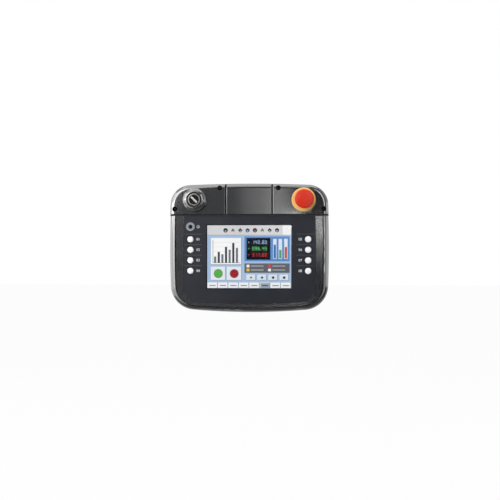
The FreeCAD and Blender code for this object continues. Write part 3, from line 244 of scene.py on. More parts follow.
def screw_tree():
    """Screws on the points of a mesh, heads up, each turned at random about its own axis."""
    numbers = ("Head radius", "Head height", "Shank radius", "Shank length", "Recess length",
               "Recess width", "Recess depth")
    kinds = {name: "NodeSocketFloat" for name in numbers}
    tree, given = node_tree("cross_recess_screws", {**kinds, "Finish": "NodeSocketMaterial"})

    # The head stands on the point, and its upper face falls with the square of the reach
    head_size = {"Vertices": 40, "Side Segments": 1, "Fill Segments": 6,
                 "Radius": given["Head radius"], "Depth": given["Head height"]}
    head = add(tree, "GeometryNodeMeshCylinder", head_size)
    place = add(tree, "GeometryNodeInputPosition")
    level = add(tree, "ShaderNodeSeparateXYZ", {0: place}).outputs["Z"]
    above = add(tree, "ShaderNodeMath", {0: level, 1: 0.0}, operation="GREATER_THAN")
    flat = add(tree, "ShaderNodeVectorMath", {0: place, 1: (1.0, 1.0, 0.0)}, operation="MULTIPLY")
    reach = add(tree, "ShaderNodeVectorMath", {0: flat}, operation="LENGTH").outputs["Value"]
    share = add(tree, "ShaderNodeMath", {0: reach, 1: given["Head radius"]}, operation="DIVIDE")
    bend = add(tree, "ShaderNodeMath", {0: share, 1: share}, operation="MULTIPLY")
    fall = add(tree, "ShaderNodeMath", {0: bend, 1: above}, operation="MULTIPLY")
    dome = {0: fall, 1: -SCREW_DOME_SHARE, 2: 0.5}
    rise = add(tree, "ShaderNodeMath", dome, operation="MULTIPLY_ADD")
    lift = add(tree, "ShaderNodeMath", {0: rise, 1: given["Head height"]}, operation="MULTIPLY")
    offset = add(tree, "ShaderNodeCombineXYZ", {"Z": lift})
    recessed = add(tree, "GeometryNodeSetPosition", {"Geometry": head, "Offset": offset})

    # Two bars cut the cross
    sides = given["Recess length"], given["Recess width"]
    depth = add(tree, "ShaderNodeMath", {0: given["Recess depth"], 1: 2.0}, operation="MULTIPLY")
    up = add(tree, "ShaderNodeCombineXYZ", {"Z": given["Head height"]})
    for along, over in (sides, sides[::-1]):
        size = add(tree, "ShaderNodeCombineXYZ", {"X": along, "Y": over, "Z": depth})
        bar = add(tree, "GeometryNodeMeshCube", {"Size": size})
        cutter = add(tree, "GeometryNodeTransform", {"Geometry": bar, "Translation": up})
        recessed = add(tree, "GeometryNodeMeshBoolean", {"Mesh 1": recessed, "Mesh 2": cutter},
                       operation="DIFFERENCE", solver="EXACT")

    # The shank hangs below
    shank_size = {"Vertices": 20, "Radius": given["Shank radius"], "Depth": given["Shank length"]}
    rod = add(tree, "GeometryNodeMeshCylinder", shank_size)
    half = add(tree, "ShaderNodeMath", {0: given["Shank length"], 1: -0.5}, operation="MULTIPLY")
    down = add(tree, "ShaderNodeCombineXYZ", {"Z": half})
    shank = add(tree, "GeometryNodeTransform", {"Geometry": rod, "Translation": down})
    screw = add(tree, "GeometryNodeJoinGeometry")
    for part in (recessed, shank):
        tree.links.new(part.outputs[0], screw.inputs[0])

    turn = {"Max": (0.0, 0.0, math.pi), "Seed": SCREW_SEED}
    turns = add(tree, "FunctionNodeRandomValue", turn, data_type="FLOAT_VECTOR")
    placed = {"Points": given["Geometry"], "Instance": screw, "Rotation": turns}
    copies = add(tree, "GeometryNodeInstanceOnPoints", placed)
    real = add(tree, "GeometryNodeRealizeInstances", {0: copies})
    smooth = add(tree, "GeometryNodeSetShadeSmooth", {"Geometry": real})
    edge = add(tree, "GeometryNodeInputMeshEdgeAngle")
    sharp = add(tree, "ShaderNodeMath", {0: edge, 1: SCREW_CREASE}, operation="GREATER_THAN")
    creased = {"Geometry": smooth, "Selection": sharp, "Shade Smooth": False}
    shaded = add(tree, "GeometryNodeSetShadeSmooth", creased, domain="EDGE")
    painted = {"Geometry": shaded, "Material": given["Finish"]}
    add(tree, "NodeGroupOutput", {0: add(tree, "GeometryNodeSetMaterial", painted)})
    return tree


def grown(name, start, tree, values):
    """Piece made by a Geometry Nodes tree from a starting mesh, as a plain mesh."""
    piece = bpy.data.objects.new(name, start)
    bpy.context.scene.collection.objects.link(piece)
    modifier = piece.modifiers.new("nodes", "NODES")
    modifier.node_group = tree
    for item in tree.interface.items_tree:
        if item.in_out == "INPUT" and item.name in values:
            modifier[item.identifier] = values[item.name]
    evaluated = piece.evaluated_get(bpy.context.evaluated_depsgraph_get())
    made = bpy.data.meshes.new_from_object(evaluated)
    piece.modifiers.clear()
    piece.data = made
    made.name = name
    return piece


def black_steel_inputs(tree, place):
    """Black passivation over steel: dark, slightly brown, with small scuffs."""
    return {
        "Base Color": clouded(tree, place, 1.2, "#121213", "#1d1c1b"),
        "Metallic": 0.85,
        "Roughness": mottle(tree, place, 0.5, 0.32, 0.5),
    }


def plated_steel_inputs(tree, place):
    """Zinc-plated steel: pale grey with the cloudy spangle of the coating."""
    return {
        "Base Color": clouded(tree, place, 6.0, "#a9adb0", "#c3c6c8", 4.0),
        "Metallic": 1.0,
        "Roughness": mottle(tree, place, 3.0, 0.3, 0.45),
    }


black_steel = surface("black_passivated_steel", black_steel_inputs)
plated_steel = surface("zinc_plated_steel", plated_steel_inputs)
screws = screw_tree()


def screw_set(node, places, facing, seat, finish):
    """Screws in place of a CAD node's own, at places in mm, mirrored left and right, on their seats."""
    low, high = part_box(node)
    seats = [Vector((side * x * MM, seat, z * MM)) for x, z in places for side in (-1, 1)]
    points = bpy.data.meshes.new(node)
    points.from_pydata([facing.inverted() @ s for s in seats], [], [])
    values = {
        "Head radius": SCREW_HEAD_RADIUS,
        "Head height": SCREW_HEAD_HEIGHT,
        "Shank radius": SCREW_SHANK_RADIUS,
        "Shank length": high.y - low.y - SCREW_HEAD_HEIGHT,
        "Recess length": SCREW_RECESS_LENGTH,
        "Recess width": SCREW_RECESS_WIDTH,
        "Recess depth": SCREW_RECESS_DEPTH,
        "Finish": finish,
    }
    piece = grown("recessed_" + node, points, screws, values)
    piece.data.transform(facing)
    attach(piece, "root")
    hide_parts(node)


cover_places = ((39.6, 81.3), (100.8, 52.8))
case_places = ((95.0, 36.0), (95.0, -52.0), (45.0, -77.0), (60.0, 78.5))
cover_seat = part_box("cover_screws")[0].y + SCREW_HEAD_HEIGHT
case_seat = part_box("case_screws")[1].y - SCREW_HEAD_HEIGHT
screw_set("cover_screws", cover_places, FACING_FRONT, cover_seat, black_steel)
screw_set("case_screws", case_places, FACING_BACK, case_seat, plated_steel)

# Front sheet
# Polyester film, printed blue-black from behind and glued into the bezel's recess. Its outside has a
# fine velvet finish, so it stays dark and shows only a broad soft sheen.


def film_inputs(tree, place):
    """Back-printed film with a velvet texture of about 0.15 mm, drawn at 0.5 mm so that it shows."""
    bump = {"Height": mottle(tree, place, 0.5, 0.0, 1.0), "Strength": 0.4, "Distance": 0.02 * MM}
    return {
        "Base Color": clouded(tree, place, 30.0, "#20232a", "#262931", 3.0),
        "Roughness": mottle(tree, place, 1.5, 0.36, 0.46),
        "Specular IOR Level": 0.14,
        "IOR": 1.57,
        "Normal": add(tree, "ShaderNodeBump", bump),
    }


coat(surface("velvet_polyester_film", film_inputs), "front_sheet")

# Printing on the sheet
# Screen-printed light grey ink: a plain number beside each key, a power sign beside the lamp and a
# thin rule between the rows. It is a few hundredths of a millimetre thick.
SHEET_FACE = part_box("front_sheet")[0].y
INK_THICKNESS = 0.03 * MM
INK_SPREAD = 0.07 * MM
LABEL_GAP = 10.6 * MM
LABEL_HEIGHT = 3.3 * MM
FIGURE_SHARE = 0.7
SIGN_RADIUS = 0.6 * LABEL_HEIGHT
SIGN_STROKE = 0.6 * MM
SIGN_OPENING = 38
RULE_WIDTH = 0.4 * MM
RULE_INNER = 64.2 * MM
RULE_OUTER = 88.6 * MM
RULE_COUNT = 4


def printed_ink(name, thin, full):
    """Ink laid through a mesh: thin spots show the film below."""

    def inputs(tree, place):
        return {
            "Base Color": clouded(tree, place, 0.35, thin, full),
            "Roughness": mottle(tree, place, 0.5, 0.45, 0.6),
        }

    return surface(name, inputs)


# The rules are printed in a grey that is close to the film's own shade
label_ink = printed_ink("light_grey_ink", "#c4c8ce", "#dcdfe3")
rule_ink = printed_ink("mid_grey_ink", "#3f434b", "#50545d")


def piece_from(name, mesh, material, body):
    """Finished piece from a mesh that lies in place."""
    mesh.name = name
    mesh.materials.clear()
    mesh.materials.append(material)
    piece = bpy.data.objects.new(name, mesh)
    bpy.context.scene.collection.objects.link(piece)
    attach(piece, body)
    return piece


def number_mesh(text, height):
    """Flat figures, centred, a little thick."""
    curve = bpy.data.curves.new("figures", "FONT")
    curve.body = text
    curve.align_x = "CENTER"
    curve.align_y = "CENTER"
    curve.size = height / FIGURE_SHARE
    curve.extrude = INK_THICKNESS / 2
    curve.offset = INK_SPREAD
    holder = bpy.data.objects.new("figures", curve)
    bpy.context.scene.collection.objects.link(holder)
    mesh = bpy.data.meshes.new_from_object(holder.evaluated_get(bpy.context.evaluated_depsgraph_get()))
    bpy.data.objects.remove(holder)
    return mesh


def middle(node):
    """Centre of a CAD node's box."""
    low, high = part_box(node)
    return (low + high) / 2


def band_round(build, axis, start, end, steps, corners):
    """Strip along part of a circle, in degrees from straight up, whose four corners are (reach, y)."""
    rows = []
    for n in range(steps + 1):
        turn = math.radians(start + (end - start) * n / steps)
        way = Vector((math.sin(turn), 0, math.cos(turn)))
        points = [Vector((axis.x, y, axis.z)) + way * reach for reach, y in corners(n / steps)]
        rows.append([build.verts.new(point) for point in points])
    for first, second in zip(rows, rows[1:]):
        for n in range(4):
            build.faces.new((first[n], first[(n + 1) % 4], second[(n + 1) % 4], second[n]))
    build.faces.new(rows[0])
    build.faces.new(rows[-1][::-1])


MERGE_DISTANCE = 0.001 * MM


def finished(build, name):
    """Mesh from a construction, with its doubles merged and its faces turned outwards."""
    bmesh.ops.remove_doubles(build, verts=build.verts, dist=MERGE_DISTANCE)
    bmesh.ops.recalc_face_normals(build, faces=build.faces)
    mesh = bpy.data.meshes.new(name)
    build.to_mesh(mesh)
    build.free()
    return mesh


ink_middle = SHEET_FACE - INK_THICKNESS / 2
key_names = ["function_key_%d" % n for n in range(1, 9)]
labels = bmesh.new()
for n, name in enumerate(key_names, 1):
    key = middle(name)
    toward_screen = 1 if key.x < 0 else -1
    spot = Vector((key.x + toward_screen * LABEL_GAP, ink_middle, key.z))
    figures = number_mesh("%02d" % n, LABEL_HEIGHT)
    figures.transform(Matrix.Translation(spot) @ FACING_FRONT)
    labels.from_mesh(figures)
lamp = middle("power_lamp_ring")
sign = Vector((lamp.x + LABEL_GAP, ink_middle, lamp.z))
ink_front = SHEET_FACE - INK_THICKNESS
sign_inner = SIGN_RADIUS - SIGN_STROKE
sign_corners = (
    (sign_inner, SHEET_FACE), (sign_inner, ink_front),
    (SIGN_RADIUS, ink_front), (SIGN_RADIUS, SHEET_FACE),
)
band_round(labels, sign, SIGN_OPENING, 360 - SIGN_OPENING, 40, lambda share: sign_corners)
stem_low, stem_high = 0.1 * SIGN_RADIUS, 1.15 * SIGN_RADIUS
stem = bmesh.ops.create_cube(labels, size=1)["verts"]
stem_size = Matrix.Diagonal((SIGN_STROKE, INK_THICKNESS, stem_high - stem_low, 1))
stem_place = Matrix.Translation((sign.x, ink_middle, sign.z + (stem_low + stem_high) / 2))
bmesh.ops.transform(labels, verts=stem, matrix=stem_place @ stem_size)
piece_from("key_numbers", finished(labels, "key_numbers"), label_ink, "root")


def rule_tree():
    """A column of equal bars, one under the other, on each starting point."""
    kinds = {"Bar size": "NodeSocketVector", "Pitch": "NodeSocketVector", "Count": "NodeSocketInt",
             "Ink": "NodeSocketMaterial"}
    tree, given = node_tree("column_of_rules", kinds)
    bar = add(tree, "GeometryNodeMeshCube", {"Size": given["Bar size"]})
    line = {"Count": given["Count"], "Offset": given["Pitch"]}
    rows = add(tree, "GeometryNodeMeshLine", line, mode="OFFSET")
    column = add(tree, "GeometryNodeInstanceOnPoints", {"Points": rows, "Instance": bar})
    columns = {"Points": given["Geometry"], "Instance": column}
    copies = add(tree, "GeometryNodeInstanceOnPoints", columns)
    real = add(tree, "GeometryNodeRealizeInstances", {0: copies})
    painted = {"Geometry": real, "Material": given["Ink"]}
    add(tree, "NodeGroupOutput", {0: add(tree, "GeometryNodeSetMaterial", painted)})
    return tree


first_key, second_key = middle(key_names[0]), middle(key_names[1])
key_pitch = first_key.z - second_key.z
rule_starts = bpy.data.meshes.new("rules")
rule_x = (RULE_INNER + RULE_OUTER) / 2
rule_top = first_key.z + key_pitch / 2
rule_starts.from_pydata([(side * rule_x, ink_middle, rule_top) for side in (-1, 1)], [], [])
rules = grown("key_rules", rule_starts, rule_tree(), {
    "Bar size": (RULE_OUTER - RULE_INNER, INK_THICKNESS, RULE_WIDTH),
    "Pitch": (0.0, 0.0, -key_pitch),
    "Count": RULE_COUNT,
    "Ink": rule_ink,
})
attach(rules, "root")

# Touch panel, display and chassis plate
# A resistive touch glass lies under the sheet's window. Behind it are the liquid-crystal glass, its
# folded steel frame, the satin white moulded backlight and the zinc-plated plate that carries them.


def touch_glass_inputs(tree, place):
    """Clear glass whose anti-glare coat reflects little and hazily, so its index is set low."""
    return {
        "Base Color": (1.0, 1.0, 1.0, 1.0),
        "Roughness": mottle(tree, place, 25.0, 0.12, 0.18, 3.0),
        "Transmission Weight": 1.0,
        "IOR": 1.2,
    }


def polariser_inputs(tree, place):
    """Black film on the display glass, seen where no picture is lit."""
    return {
        "Base Color": clouded(tree, place, 40.0, "#101217", "#15171d"),
        "Roughness": mottle(tree, place, 8.0, 0.18, 0.26),
    }


white_plastic = moulded_plastic("white_polycarbonate", "#e2e2dd", "#eeeeea", 0.4, 0.8, 0.02)
coat(surface("anti_glare_glass", touch_glass_inputs), "touch_panel")
coat(surface("polariser_film", polariser_inputs), "lcd_panel")
coat(plated_steel, "lcd_frame", "chassis_plate", "frame_screws")
coat(white_plastic, "backlight_unit")

# Picture on the display
# A plain machine screen of 640 by 480 dots, lit from behind: tool row, chart, readout, lamps, buttons
# and page tabs. Each patch is a flat face with its own colour, a hair in front of the glass.
DOT = 0.179 * MM
DOTS_WIDE = 640
DOTS_HIGH = 480
LAYER = 0.012 * MM
picture_points = []
picture_faces = []
picture_colours = []


def patch(points, colour, layer):
    """Flat patch with corners in dots from the picture's top left."""
    base = len(picture_points)
    glass = middle("lcd_panel")
    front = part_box("lcd_panel")[0].y - layer * LAYER
    for across, down in points:
        x = glass.x + (across - DOTS_WIDE / 2) * DOT
        z = glass.z - (down - DOTS_HIGH / 2) * DOT
        picture_points.append((x, front, z))
    picture_faces.append(list(range(base, base + len(points))))
    picture_colours.append(linear(colour))


def pane(left, top, right, bottom, colour, layer):
    """Upright rectangle."""
    patch([(left, top), (left, bottom), (right, bottom), (right, top)], colour, layer)


def disc(across, down, radius, colour, layer, corners=28):
    """Round patch, or a regular one with few corners."""
    turns = [2 * math.pi * n / corners for n in range(corners)]
    patch([(across - radius * math.sin(t), down - radius * math.cos(t)) for t in turns], colour, layer)


def raised(left, top, right, bottom, colour, layer, light="#ffffff", shade="#7d8694", edge=3):
    """Button drawn with a light upper edge and a dark lower one."""
    pane(left, top, right, bottom, shade, layer)
    pane(left, top, right - edge, bottom - edge, light, layer + 1)
    pane(left + edge, top + edge, right - edge, bottom - edge, colour, layer + 2)


SEGMENTS = {
    "top": (0.0, 0.0, 1.0, 0.12),
    "middle": (0.0, 0.44, 1.0, 0.56),
    "bottom": (0.0, 0.88, 1.0, 1.0),
    "upper_left": (0.0, 0.0, 0.22, 0.5),
    "upper_right": (0.78, 0.0, 1.0, 0.5),
    "lower_left": (0.0, 0.5, 0.22, 1.0),
    "lower_right": (0.78, 0.5, 1.0, 1.0),
}
DARK_SEGMENTS = {
    0: ("middle",),
    1: ("top", "middle", "bottom", "upper_left", "lower_left"),
    2: ("upper_left", "lower_right"),
    3: ("upper_left", "lower_left"),
    4: ("top", "bottom", "lower_left"),
    5: ("upper_right", "lower_left"),
    6: ("upper_right",),
    7: ("middle", "bottom", "upper_left", "lower_left"),
    8: (),
    9: ("lower_left",),
}


def digits(text, left, top, width, height, gap, colour, layer):
    """Row of seven-bar figures with a point where the text has one."""
    here, point = left, 5
    for sign in text:
        if sign == ".":
            pane(here, top + height - point, here + point, top + height, colour, layer)
            here += point + gap
            continue
        for name, (x0, y0, x1, y1) in SEGMENTS.items():
            if name not in DARK_SEGMENTS[int(sign)]:
                box = here + x0 * width, top + y0 * height, here + x1 * width, top + y1 * height
                pane(*box, colour, layer)
        here += width + gap


# Tool row: a grey strip with a pale field at its right end and eight small signs
ROW_HEIGHT = 76
ROW_EDGE = 3
row_grey, icon_dark, field_width = "#d6d6d8", "#2a2c32", 66
pane(0, 0, DOTS_WIDE, DOTS_HIGH, "#a9c3e2", 1)
pane(0, 0, DOTS_WIDE, ROW_HEIGHT, row_grey, 2)
pane(0, ROW_HEIGHT - ROW_EDGE, DOTS_WIDE, ROW_HEIGHT, "#8d97a6", 3)
pane(DOTS_WIDE - field_width, 0, DOTS_WIDE, ROW_HEIGHT - ROW_EDGE, "#f0f1f3", 3)
icon_first, icon_pitch, icon_radius, eye_radius = 140, 56, 17, 5
icon_corners = (28, 3, 4, 6)
icon_shades = (icon_dark, "#6e2622", icon_dark, "#254f78", "#57391d", icon_dark, "#17181c", icon_dark)
for n, shade in enumerate(icon_shades):
    across, down = icon_first + n * icon_pitch, ROW_HEIGHT / 2
    disc(across, down, icon_radius, shade, 3, icon_corners[n % 4])
    disc(across, down + eye_radius, eye_radius, row_grey, 4, icon_corners[(n + n // 4) % 4])

# Chart: grid lines, seven bars and two axes on a white page
chart_left, chart_top, chart_right, chart_foot = 28, 96, 262, 300
chart_margin, grid_rows, grid_line, axis_line = 12, 6, 1.5, 3
raised(chart_left, chart_top, chart_right, chart_foot, "#fbfbfb", 2, light="#f4f6fa", shade="#6f7c8f")
for n in range(1, grid_rows):
    down = chart_top + n * (chart_foot - chart_top) / grid_rows
    pane(chart_left + chart_margin, down, chart_right - chart_margin, down + grid_line, "#cfd4dc", 5)
bar_heights = (46, 82, 64, 120, 98, 150, 112)
bar_first, bar_foot = chart_left + 24, chart_foot - 16
bar_pitch, bar_share = (chart_right - chart_left - 40) / len(bar_heights), 0.6
for n, height in enumerate(bar_heights):
    left = bar_first + n * bar_pitch
    shade = "#3b4048" if n % 2 else "#6d747f"
    pane(left, bar_foot - height, left + bar_pitch * bar_share, bar_foot, shade, 6)
axis_x, axis_top, axis_foot = chart_left + 14, chart_top + 14, bar_foot + axis_line
pane(axis_x, bar_foot, chart_right - chart_margin, axis_foot, "#2b2e34", 7)
pane(axis_x, axis_top, axis_x + axis_line, axis_foot, "#2b2e34", 7)

# Readout: three rows of lit figures on black, beside three level gauges
panel_left, panel_top, panel_right, panel_foot = 284, 84, 628, 274
column_left, readout_top, readout_right, readout_foot = 300, 96, 482, 262
readout_first, readout_pitch, mark_radius = readout_top + 16, 48, 6
readings = (("142.80", "#a8cdf5"), ("096.45", "#6fe07a"), ("317.02", "#f2434b"))
pane(panel_left, panel_top, panel_right, panel_foot, "#5f8fc9", 2)
pane(column_left, readout_top, readout_right, readout_foot, "#0b0d12", 3)
for n, (value, shade) in enumerate(readings):
    row = readout_first + n * readout_pitch
    disc(column_left + 16, row + 17, mark_radius, shade, 4, corners=3)
    digits(value, column_left + 44, row + 4, width=14, height=26, gap=7, colour=shade, layer=4)
gauge_first, gauge_pitch, gauge_width, gauge_edge = 502, 42, 26, 4
gauge_top, gauge_foot = 104, 256
gauge_range = gauge_foot - gauge_top - 2 * gauge_edge
for n, (share, shade) in enumerate(((0.72, "#3f74b8"), (0.45, "#4aa45a"), (0.6, "#c8533f"))):
    left = gauge_first + n * gauge_pitch
    right = left + gauge_width
    level = gauge_top + gauge_edge + (1 - share) * gauge_range
    pane(left, gauge_top, right, gauge_foot, "#dfe9f6", 3)
    pane(left + gauge_edge, level, right - gauge_edge, gauge_foot - gauge_edge, shade, 4)

# Status field with four lamps, two large buttons under the chart and four small ones beside them
status_top, status_foot, status_across, status_down = 290, 362, 164, 30
status_lamp, status_dash = (0, 0, 22, 20), (34, 7, 130, 13)
pane(panel_left, status_top, panel_right, status_foot, "#64666a", 2)
for n, shade in enumerate(("#f4f6f8", "#e2473c", "#f0c63e", "#f4f6f8")):
    left, down = column_left + (n % 2) * status_across, status_top + 10 + (n // 2) * status_down
    for (x0, y0, x1, y1), colour in ((status_lamp, shade), (status_dash, "#b9bcc2")):
        pane(left + x0, down + y0, left + x1, down + y1, colour, 3)
button_foot, large_top, large_width, large_pitch = 420, 316, 112, 122
rim_radius, cap_radius = 34, 30
for n, shade in enumerate(("#57b447", "#a3232b")):
    left = chart_left + n * large_pitch
    across, down = left + large_width / 2, (large_top + button_foot) / 2
    raised(left, large_top, left + large_width, button_foot, "#e9edf2", 2)
    disc(across, down, rim_radius, "#5c626b", 5)
    disc(across, down, cap_radius, shade, 6)
small_count, small_top, small_width, small_pitch, small_radius = 4, 376, 68, 84, 11
for n in range(small_count):
    left = column_left + n * small_pitch
    across, down = left + small_width / 2, (small_top + button_foot) / 2
    raised(left, small_top, left + small_width, button_foot, "#dde6f2", 2)
    disc(across, down, small_radius, "#22252b", 6, corners=3 + n)

# Page tabs along the foot, one of them chosen
tab_top, tab_count, chosen_tab, tab_gap = 436, 8, 5, 2
tab_width = DOTS_WIDE / tab_count
dash_margin, dash_top, dash_foot = 16, tab_top + 19, tab_top + 27
for n in range(tab_count):
    left, right = n * tab_width, (n + 1) * tab_width
    field, dash = ("#9fa9b6", "#3c4048") if n == chosen_tab else ("#f3f4f6", "#8a9099")
    raised(left + tab_gap, tab_top, right - tab_gap, DOTS_HIGH, field, 2)
    pane(left + dash_margin, dash_top, right - dash_margin, dash_foot, dash, 6)

PICTURE_COLOUR = "picture"


def picture_inputs(tree, place):
    """Lit dots: the patch colour, with the backlight a little uneven from place to place."""
    colour = add(tree, "ShaderNodeAttribute", attribute_name=PICTURE_COLOUR).outputs["Color"]
    evenness = mottle(tree, place, 60.0, 0.9, 1.0)
    dimmed = {0: evenness, 6: linear("#000000"), 7: colour}
    lit = add(tree, "ShaderNodeMix", dimmed, data_type="RGBA").outputs[2]
    return {
        "Base Color": linear("#0a0b0d"),
        "Roughness": 0.4,
        "Specular IOR Level": 0.0,
        "Emission Color": lit,
        "Emission Strength": 1.0,
    }


picture_mesh = bpy.data.meshes.new("display_picture")
picture_mesh.from_pydata(picture_points, [], picture_faces)
shades = picture_mesh.color_attributes.new(PICTURE_COLOUR, "FLOAT_COLOR", "CORNER")
for face, colour in zip(picture_mesh.polygons, picture_colours):
    for corner in face.loop_indices:
        shades.data[corner].color = colour
piece_from("display_picture", picture_mesh, surface("lit_display", picture_inputs), "root")

# Function keys and power lamp
# Eight satin white caps moulded in polycarbonate, on short plungers, and a lamp with a grey ring and
# a smooth smoked lens that looks black unlit. Their boards, switches and diode are behind the bezel.
key_white = moulded_plastic("white_key_polycarbonate", "#f7f8f8", "#fcfcfc", 0.32, 0.7, 0.015)
ring_grey = moulded_plastic("grey_abs", "#7d838b", "#8b9199", 0.38, 0.6, 0.02)
lens_gloss = {"IOR": 1.49, "Specular IOR Level": 0.15}
smoked_lens = moulded_plastic("smoked_acrylic", "#0d0f14", "#14171e", 0.12, 1.5, 0.004, **lens_gloss)
coat(key_white, *key_names)
coat(ring_grey, "power_lamp_ring")
coat(smoked_lens, "power_lamp_lens")


def board_inputs(tree, place):
    """Green solder mask over copper: slightly darker where there is no track."""
    bricks = {"Vector": place, "Scale": 1 / (4.0 * MM), "Color1": (1.0, 1.0, 1.0, 1.0),
              "Color2": (0.6, 0.6, 0.6, 1.0), "Mortar": (0.0, 0.0, 0.0, 1.0)}
    tracks = add(tree, "ShaderNodeTexBrick", bricks)
    shades = {0: tracks, 6: linear("#123b22"), 7: linear("#1d5a33")}
    return {
        "Base Color": add(tree, "ShaderNodeMix", shades, data_type="RGBA").outputs[2],
        "Roughness": mottle(tree, place, 2.0, 0.25, 0.4),
    }


circuit_board = surface("solder_masked_board", board_inputs)
black_plastic = moulded_plastic("black_polyamide", "#151617", "#1d1e20", 0.5, 0.7, 0.03)
coat(circuit_board, "key_boards")
coat(black_plastic, "tact_switches")
coat(white_plastic, "power_led")

# Main board and what stands on it
# A green circuit board screwed on brass spacers, with black chips, connectors and a buzzer. The cooler
# is a finned aluminium extrusion on the processor, and the battery a steel coin cell in a round clip.


def brass_inputs(tree, place):
    """Turned brass, its shine a little worn by handling."""
    return {
        "Base Color": clouded(tree, place, 1.5, "#b8954a", "#cdac60"),
        "Metallic": 1.0,
        "Roughness": mottle(tree, place, 0.8, 0.22, 0.36),
    }


def aluminium_inputs(tree, place):
    """Extruded aluminium with fine drawing lines along the fins."""
    lines = add(tree, "ShaderNodeMapping", {"Vector": place, "Scale": (1.0, 1.0, 0.05)})
    return {
        "Base Color": clouded(tree, lines, 0.4, "#b6b9bb", "#cfd1d2"),
        "Metallic": 1.0,
        "Roughness": mottle(tree, lines, 0.3, 0.28, 0.42),
    }


coat(surface("turned_brass", brass_inputs), "board_standoffs")
coat(circuit_board, "main_board")
coat(black_plastic, "board_components", "buzzer")
coat(surface("extruded_aluminium", aluminium_inputs), "processor_cooler")
coat(plated_steel, "backup_battery")

# Top covers
# Three ABS caps on foam gaskets, a shade lighter than the case and a little smoother. Two screws hold
# each outer one. The left one carries the selector inside a smooth guard collar moulded with it.
COLLAR_RADIUS = 15.5 * MM
COLLAR_BORE = 10.7 * MM
COLLAR_ROUGHNESS = 0.14
COUNTERBORE_RADIUS = 3.45 * MM


def inside_circle(tree, place, x, z, radius):
    """1 within a circle seen from the front, wherever it lies in depth."""
    offset = add(tree, "ShaderNodeVectorMath", {0: place, 1: (x, 0.0, z)}, operation="SUBTRACT")
    flat = add(tree, "ShaderNodeVectorMath", {0: offset, 1: (1.0, 0.0, 1.0)}, operation="MULTIPLY")
    reach = add(tree, "ShaderNodeVectorMath", {0: flat}, operation="LENGTH").outputs["Value"]
    return add(tree, "ShaderNodeMath", {0: reach, 1: radius}, operation="LESS_THAN")


def cover_inputs(tree, place):
    """Grained ABS, smooth on the selector's guard collar, with painted shade in its bore and the
    counterbores.

    The grain is 0.3 mm on the real covers and is drawn at 0.8 mm, so that it shows.
    """
    knob = middle("selector_knob")
    collar = inside_circle(tree, place, knob.x, knob.z, COLLAR_RADIUS)
    grained = add(tree, "ShaderNodeMath", {0: 1.0, 1: collar}, operation="SUBTRACT")
    grain = {0: mottle(tree, place, 0.8, 0.0, 1.0), 1: grained}
    height = add(tree, "ShaderNodeMath", grain, operation="MULTIPLY")
    bump = {"Height": height, "Strength": 0.6, "Distance": 0.005 * MM}
    rough = {0: collar, 2: mottle(tree, place, 2.4, 0.09, 0.12), 3: COLLAR_ROUGHNESS}
    values = {
        "Base Color": clouded(tree, place, CLOUD_MM, "#222326", "#28292c", 4.0),
        "Roughness": add(tree, "ShaderNodeMix", rough),
        "Normal": add(tree, "ShaderNodeBump", bump),
        **case_gloss,
    }
    mirrored = add(tree, "ShaderNodeVectorMath", {0: place}, operation="ABSOLUTE")
    # Painted shade, a flat black, in the selector's bore and the screw counterbores
    shade_share = inside_circle(tree, place, knob.x, knob.z, COLLAR_BORE)
    for x, z in cover_places:
        bore = inside_circle(tree, mirrored, x * MM, z * MM, COUNTERBORE_RADIUS)
        shade_share = add(tree, "ShaderNodeMath", {0: shade_share, 1: bore}, operation="MAXIMUM")
    return with_painted_shade(tree, shade_share, values)


cover_abs = surface("grained_cover_abs", cover_inputs)
coat(cover_abs, "left_switch_cover", "centre_cover", "right_switch_cover")

# Selector switch
# A nickel-plated ring turned from brass, and a deep black, dull-moulded polyamide rotor with a handle
# bar and an ivory pointer strip. Behind the cover are its shaft, nut and contact block.


def wave_scale(pitch):
    """Scale at which a wave texture repeats once in a pitch."""
    return 2 * math.pi / 20 / pitch


def turned_nickel_inputs(tree, place):
    """Nickel over turned brass: rings of tool marks about 0.35 mm apart round the switch's axis."""
    knob = middle("selector_knob")
    centred = add(tree, "ShaderNodeMapping", {"Vector": place, "Location": (-knob.x, 0.0, -knob.z)})
    rings = {"Vector": centred, "Scale": wave_scale(0.35 * MM), "Distortion": 0.4}
    marks = add(tree, "ShaderNodeTexWave", rings, wave_type="RINGS", rings_direction="Y").outputs["Fac"]
    bump = {"Height": marks, "Strength": 0.05, "Distance": 0.005 * MM}
    shades = {0: marks, 6: linear("#6f6e6c"), 7: linear("#7c7a78")}
    return {
        "Base Color": add(tree, "ShaderNodeMix", shades, data_type="RGBA").outputs[2],
        "Metallic": 1.0,
        "Roughness": mottle(tree, place, 2.0, 0.28, 0.34),
        "Normal": add(tree, "ShaderNodeBump", bump),
    }


pointer_white = moulded_plastic("ivory_polyamide", "#abaaa6", "#b8b7b3", 0.42, 0.6, 0.015)
coat(surface("turned_nickel_plate", turned_nickel_inputs), "selector_bezel")
rotor_gloss = {"IOR": 1.53, "Specular IOR Level": 0.15}
rotor_black = moulded_plastic(
    "jet_black_polyamide", "#09090a", "#0f0f10", 0.3, 0.7, 0.01, **rotor_gloss
)
coat(rotor_black, "selector_knob")
coat(black_plastic, "selector_contact_block")
coat(pointer_white, "selector_pointer")
coat(plated_steel, "selector_shaft", "selector_locknut")

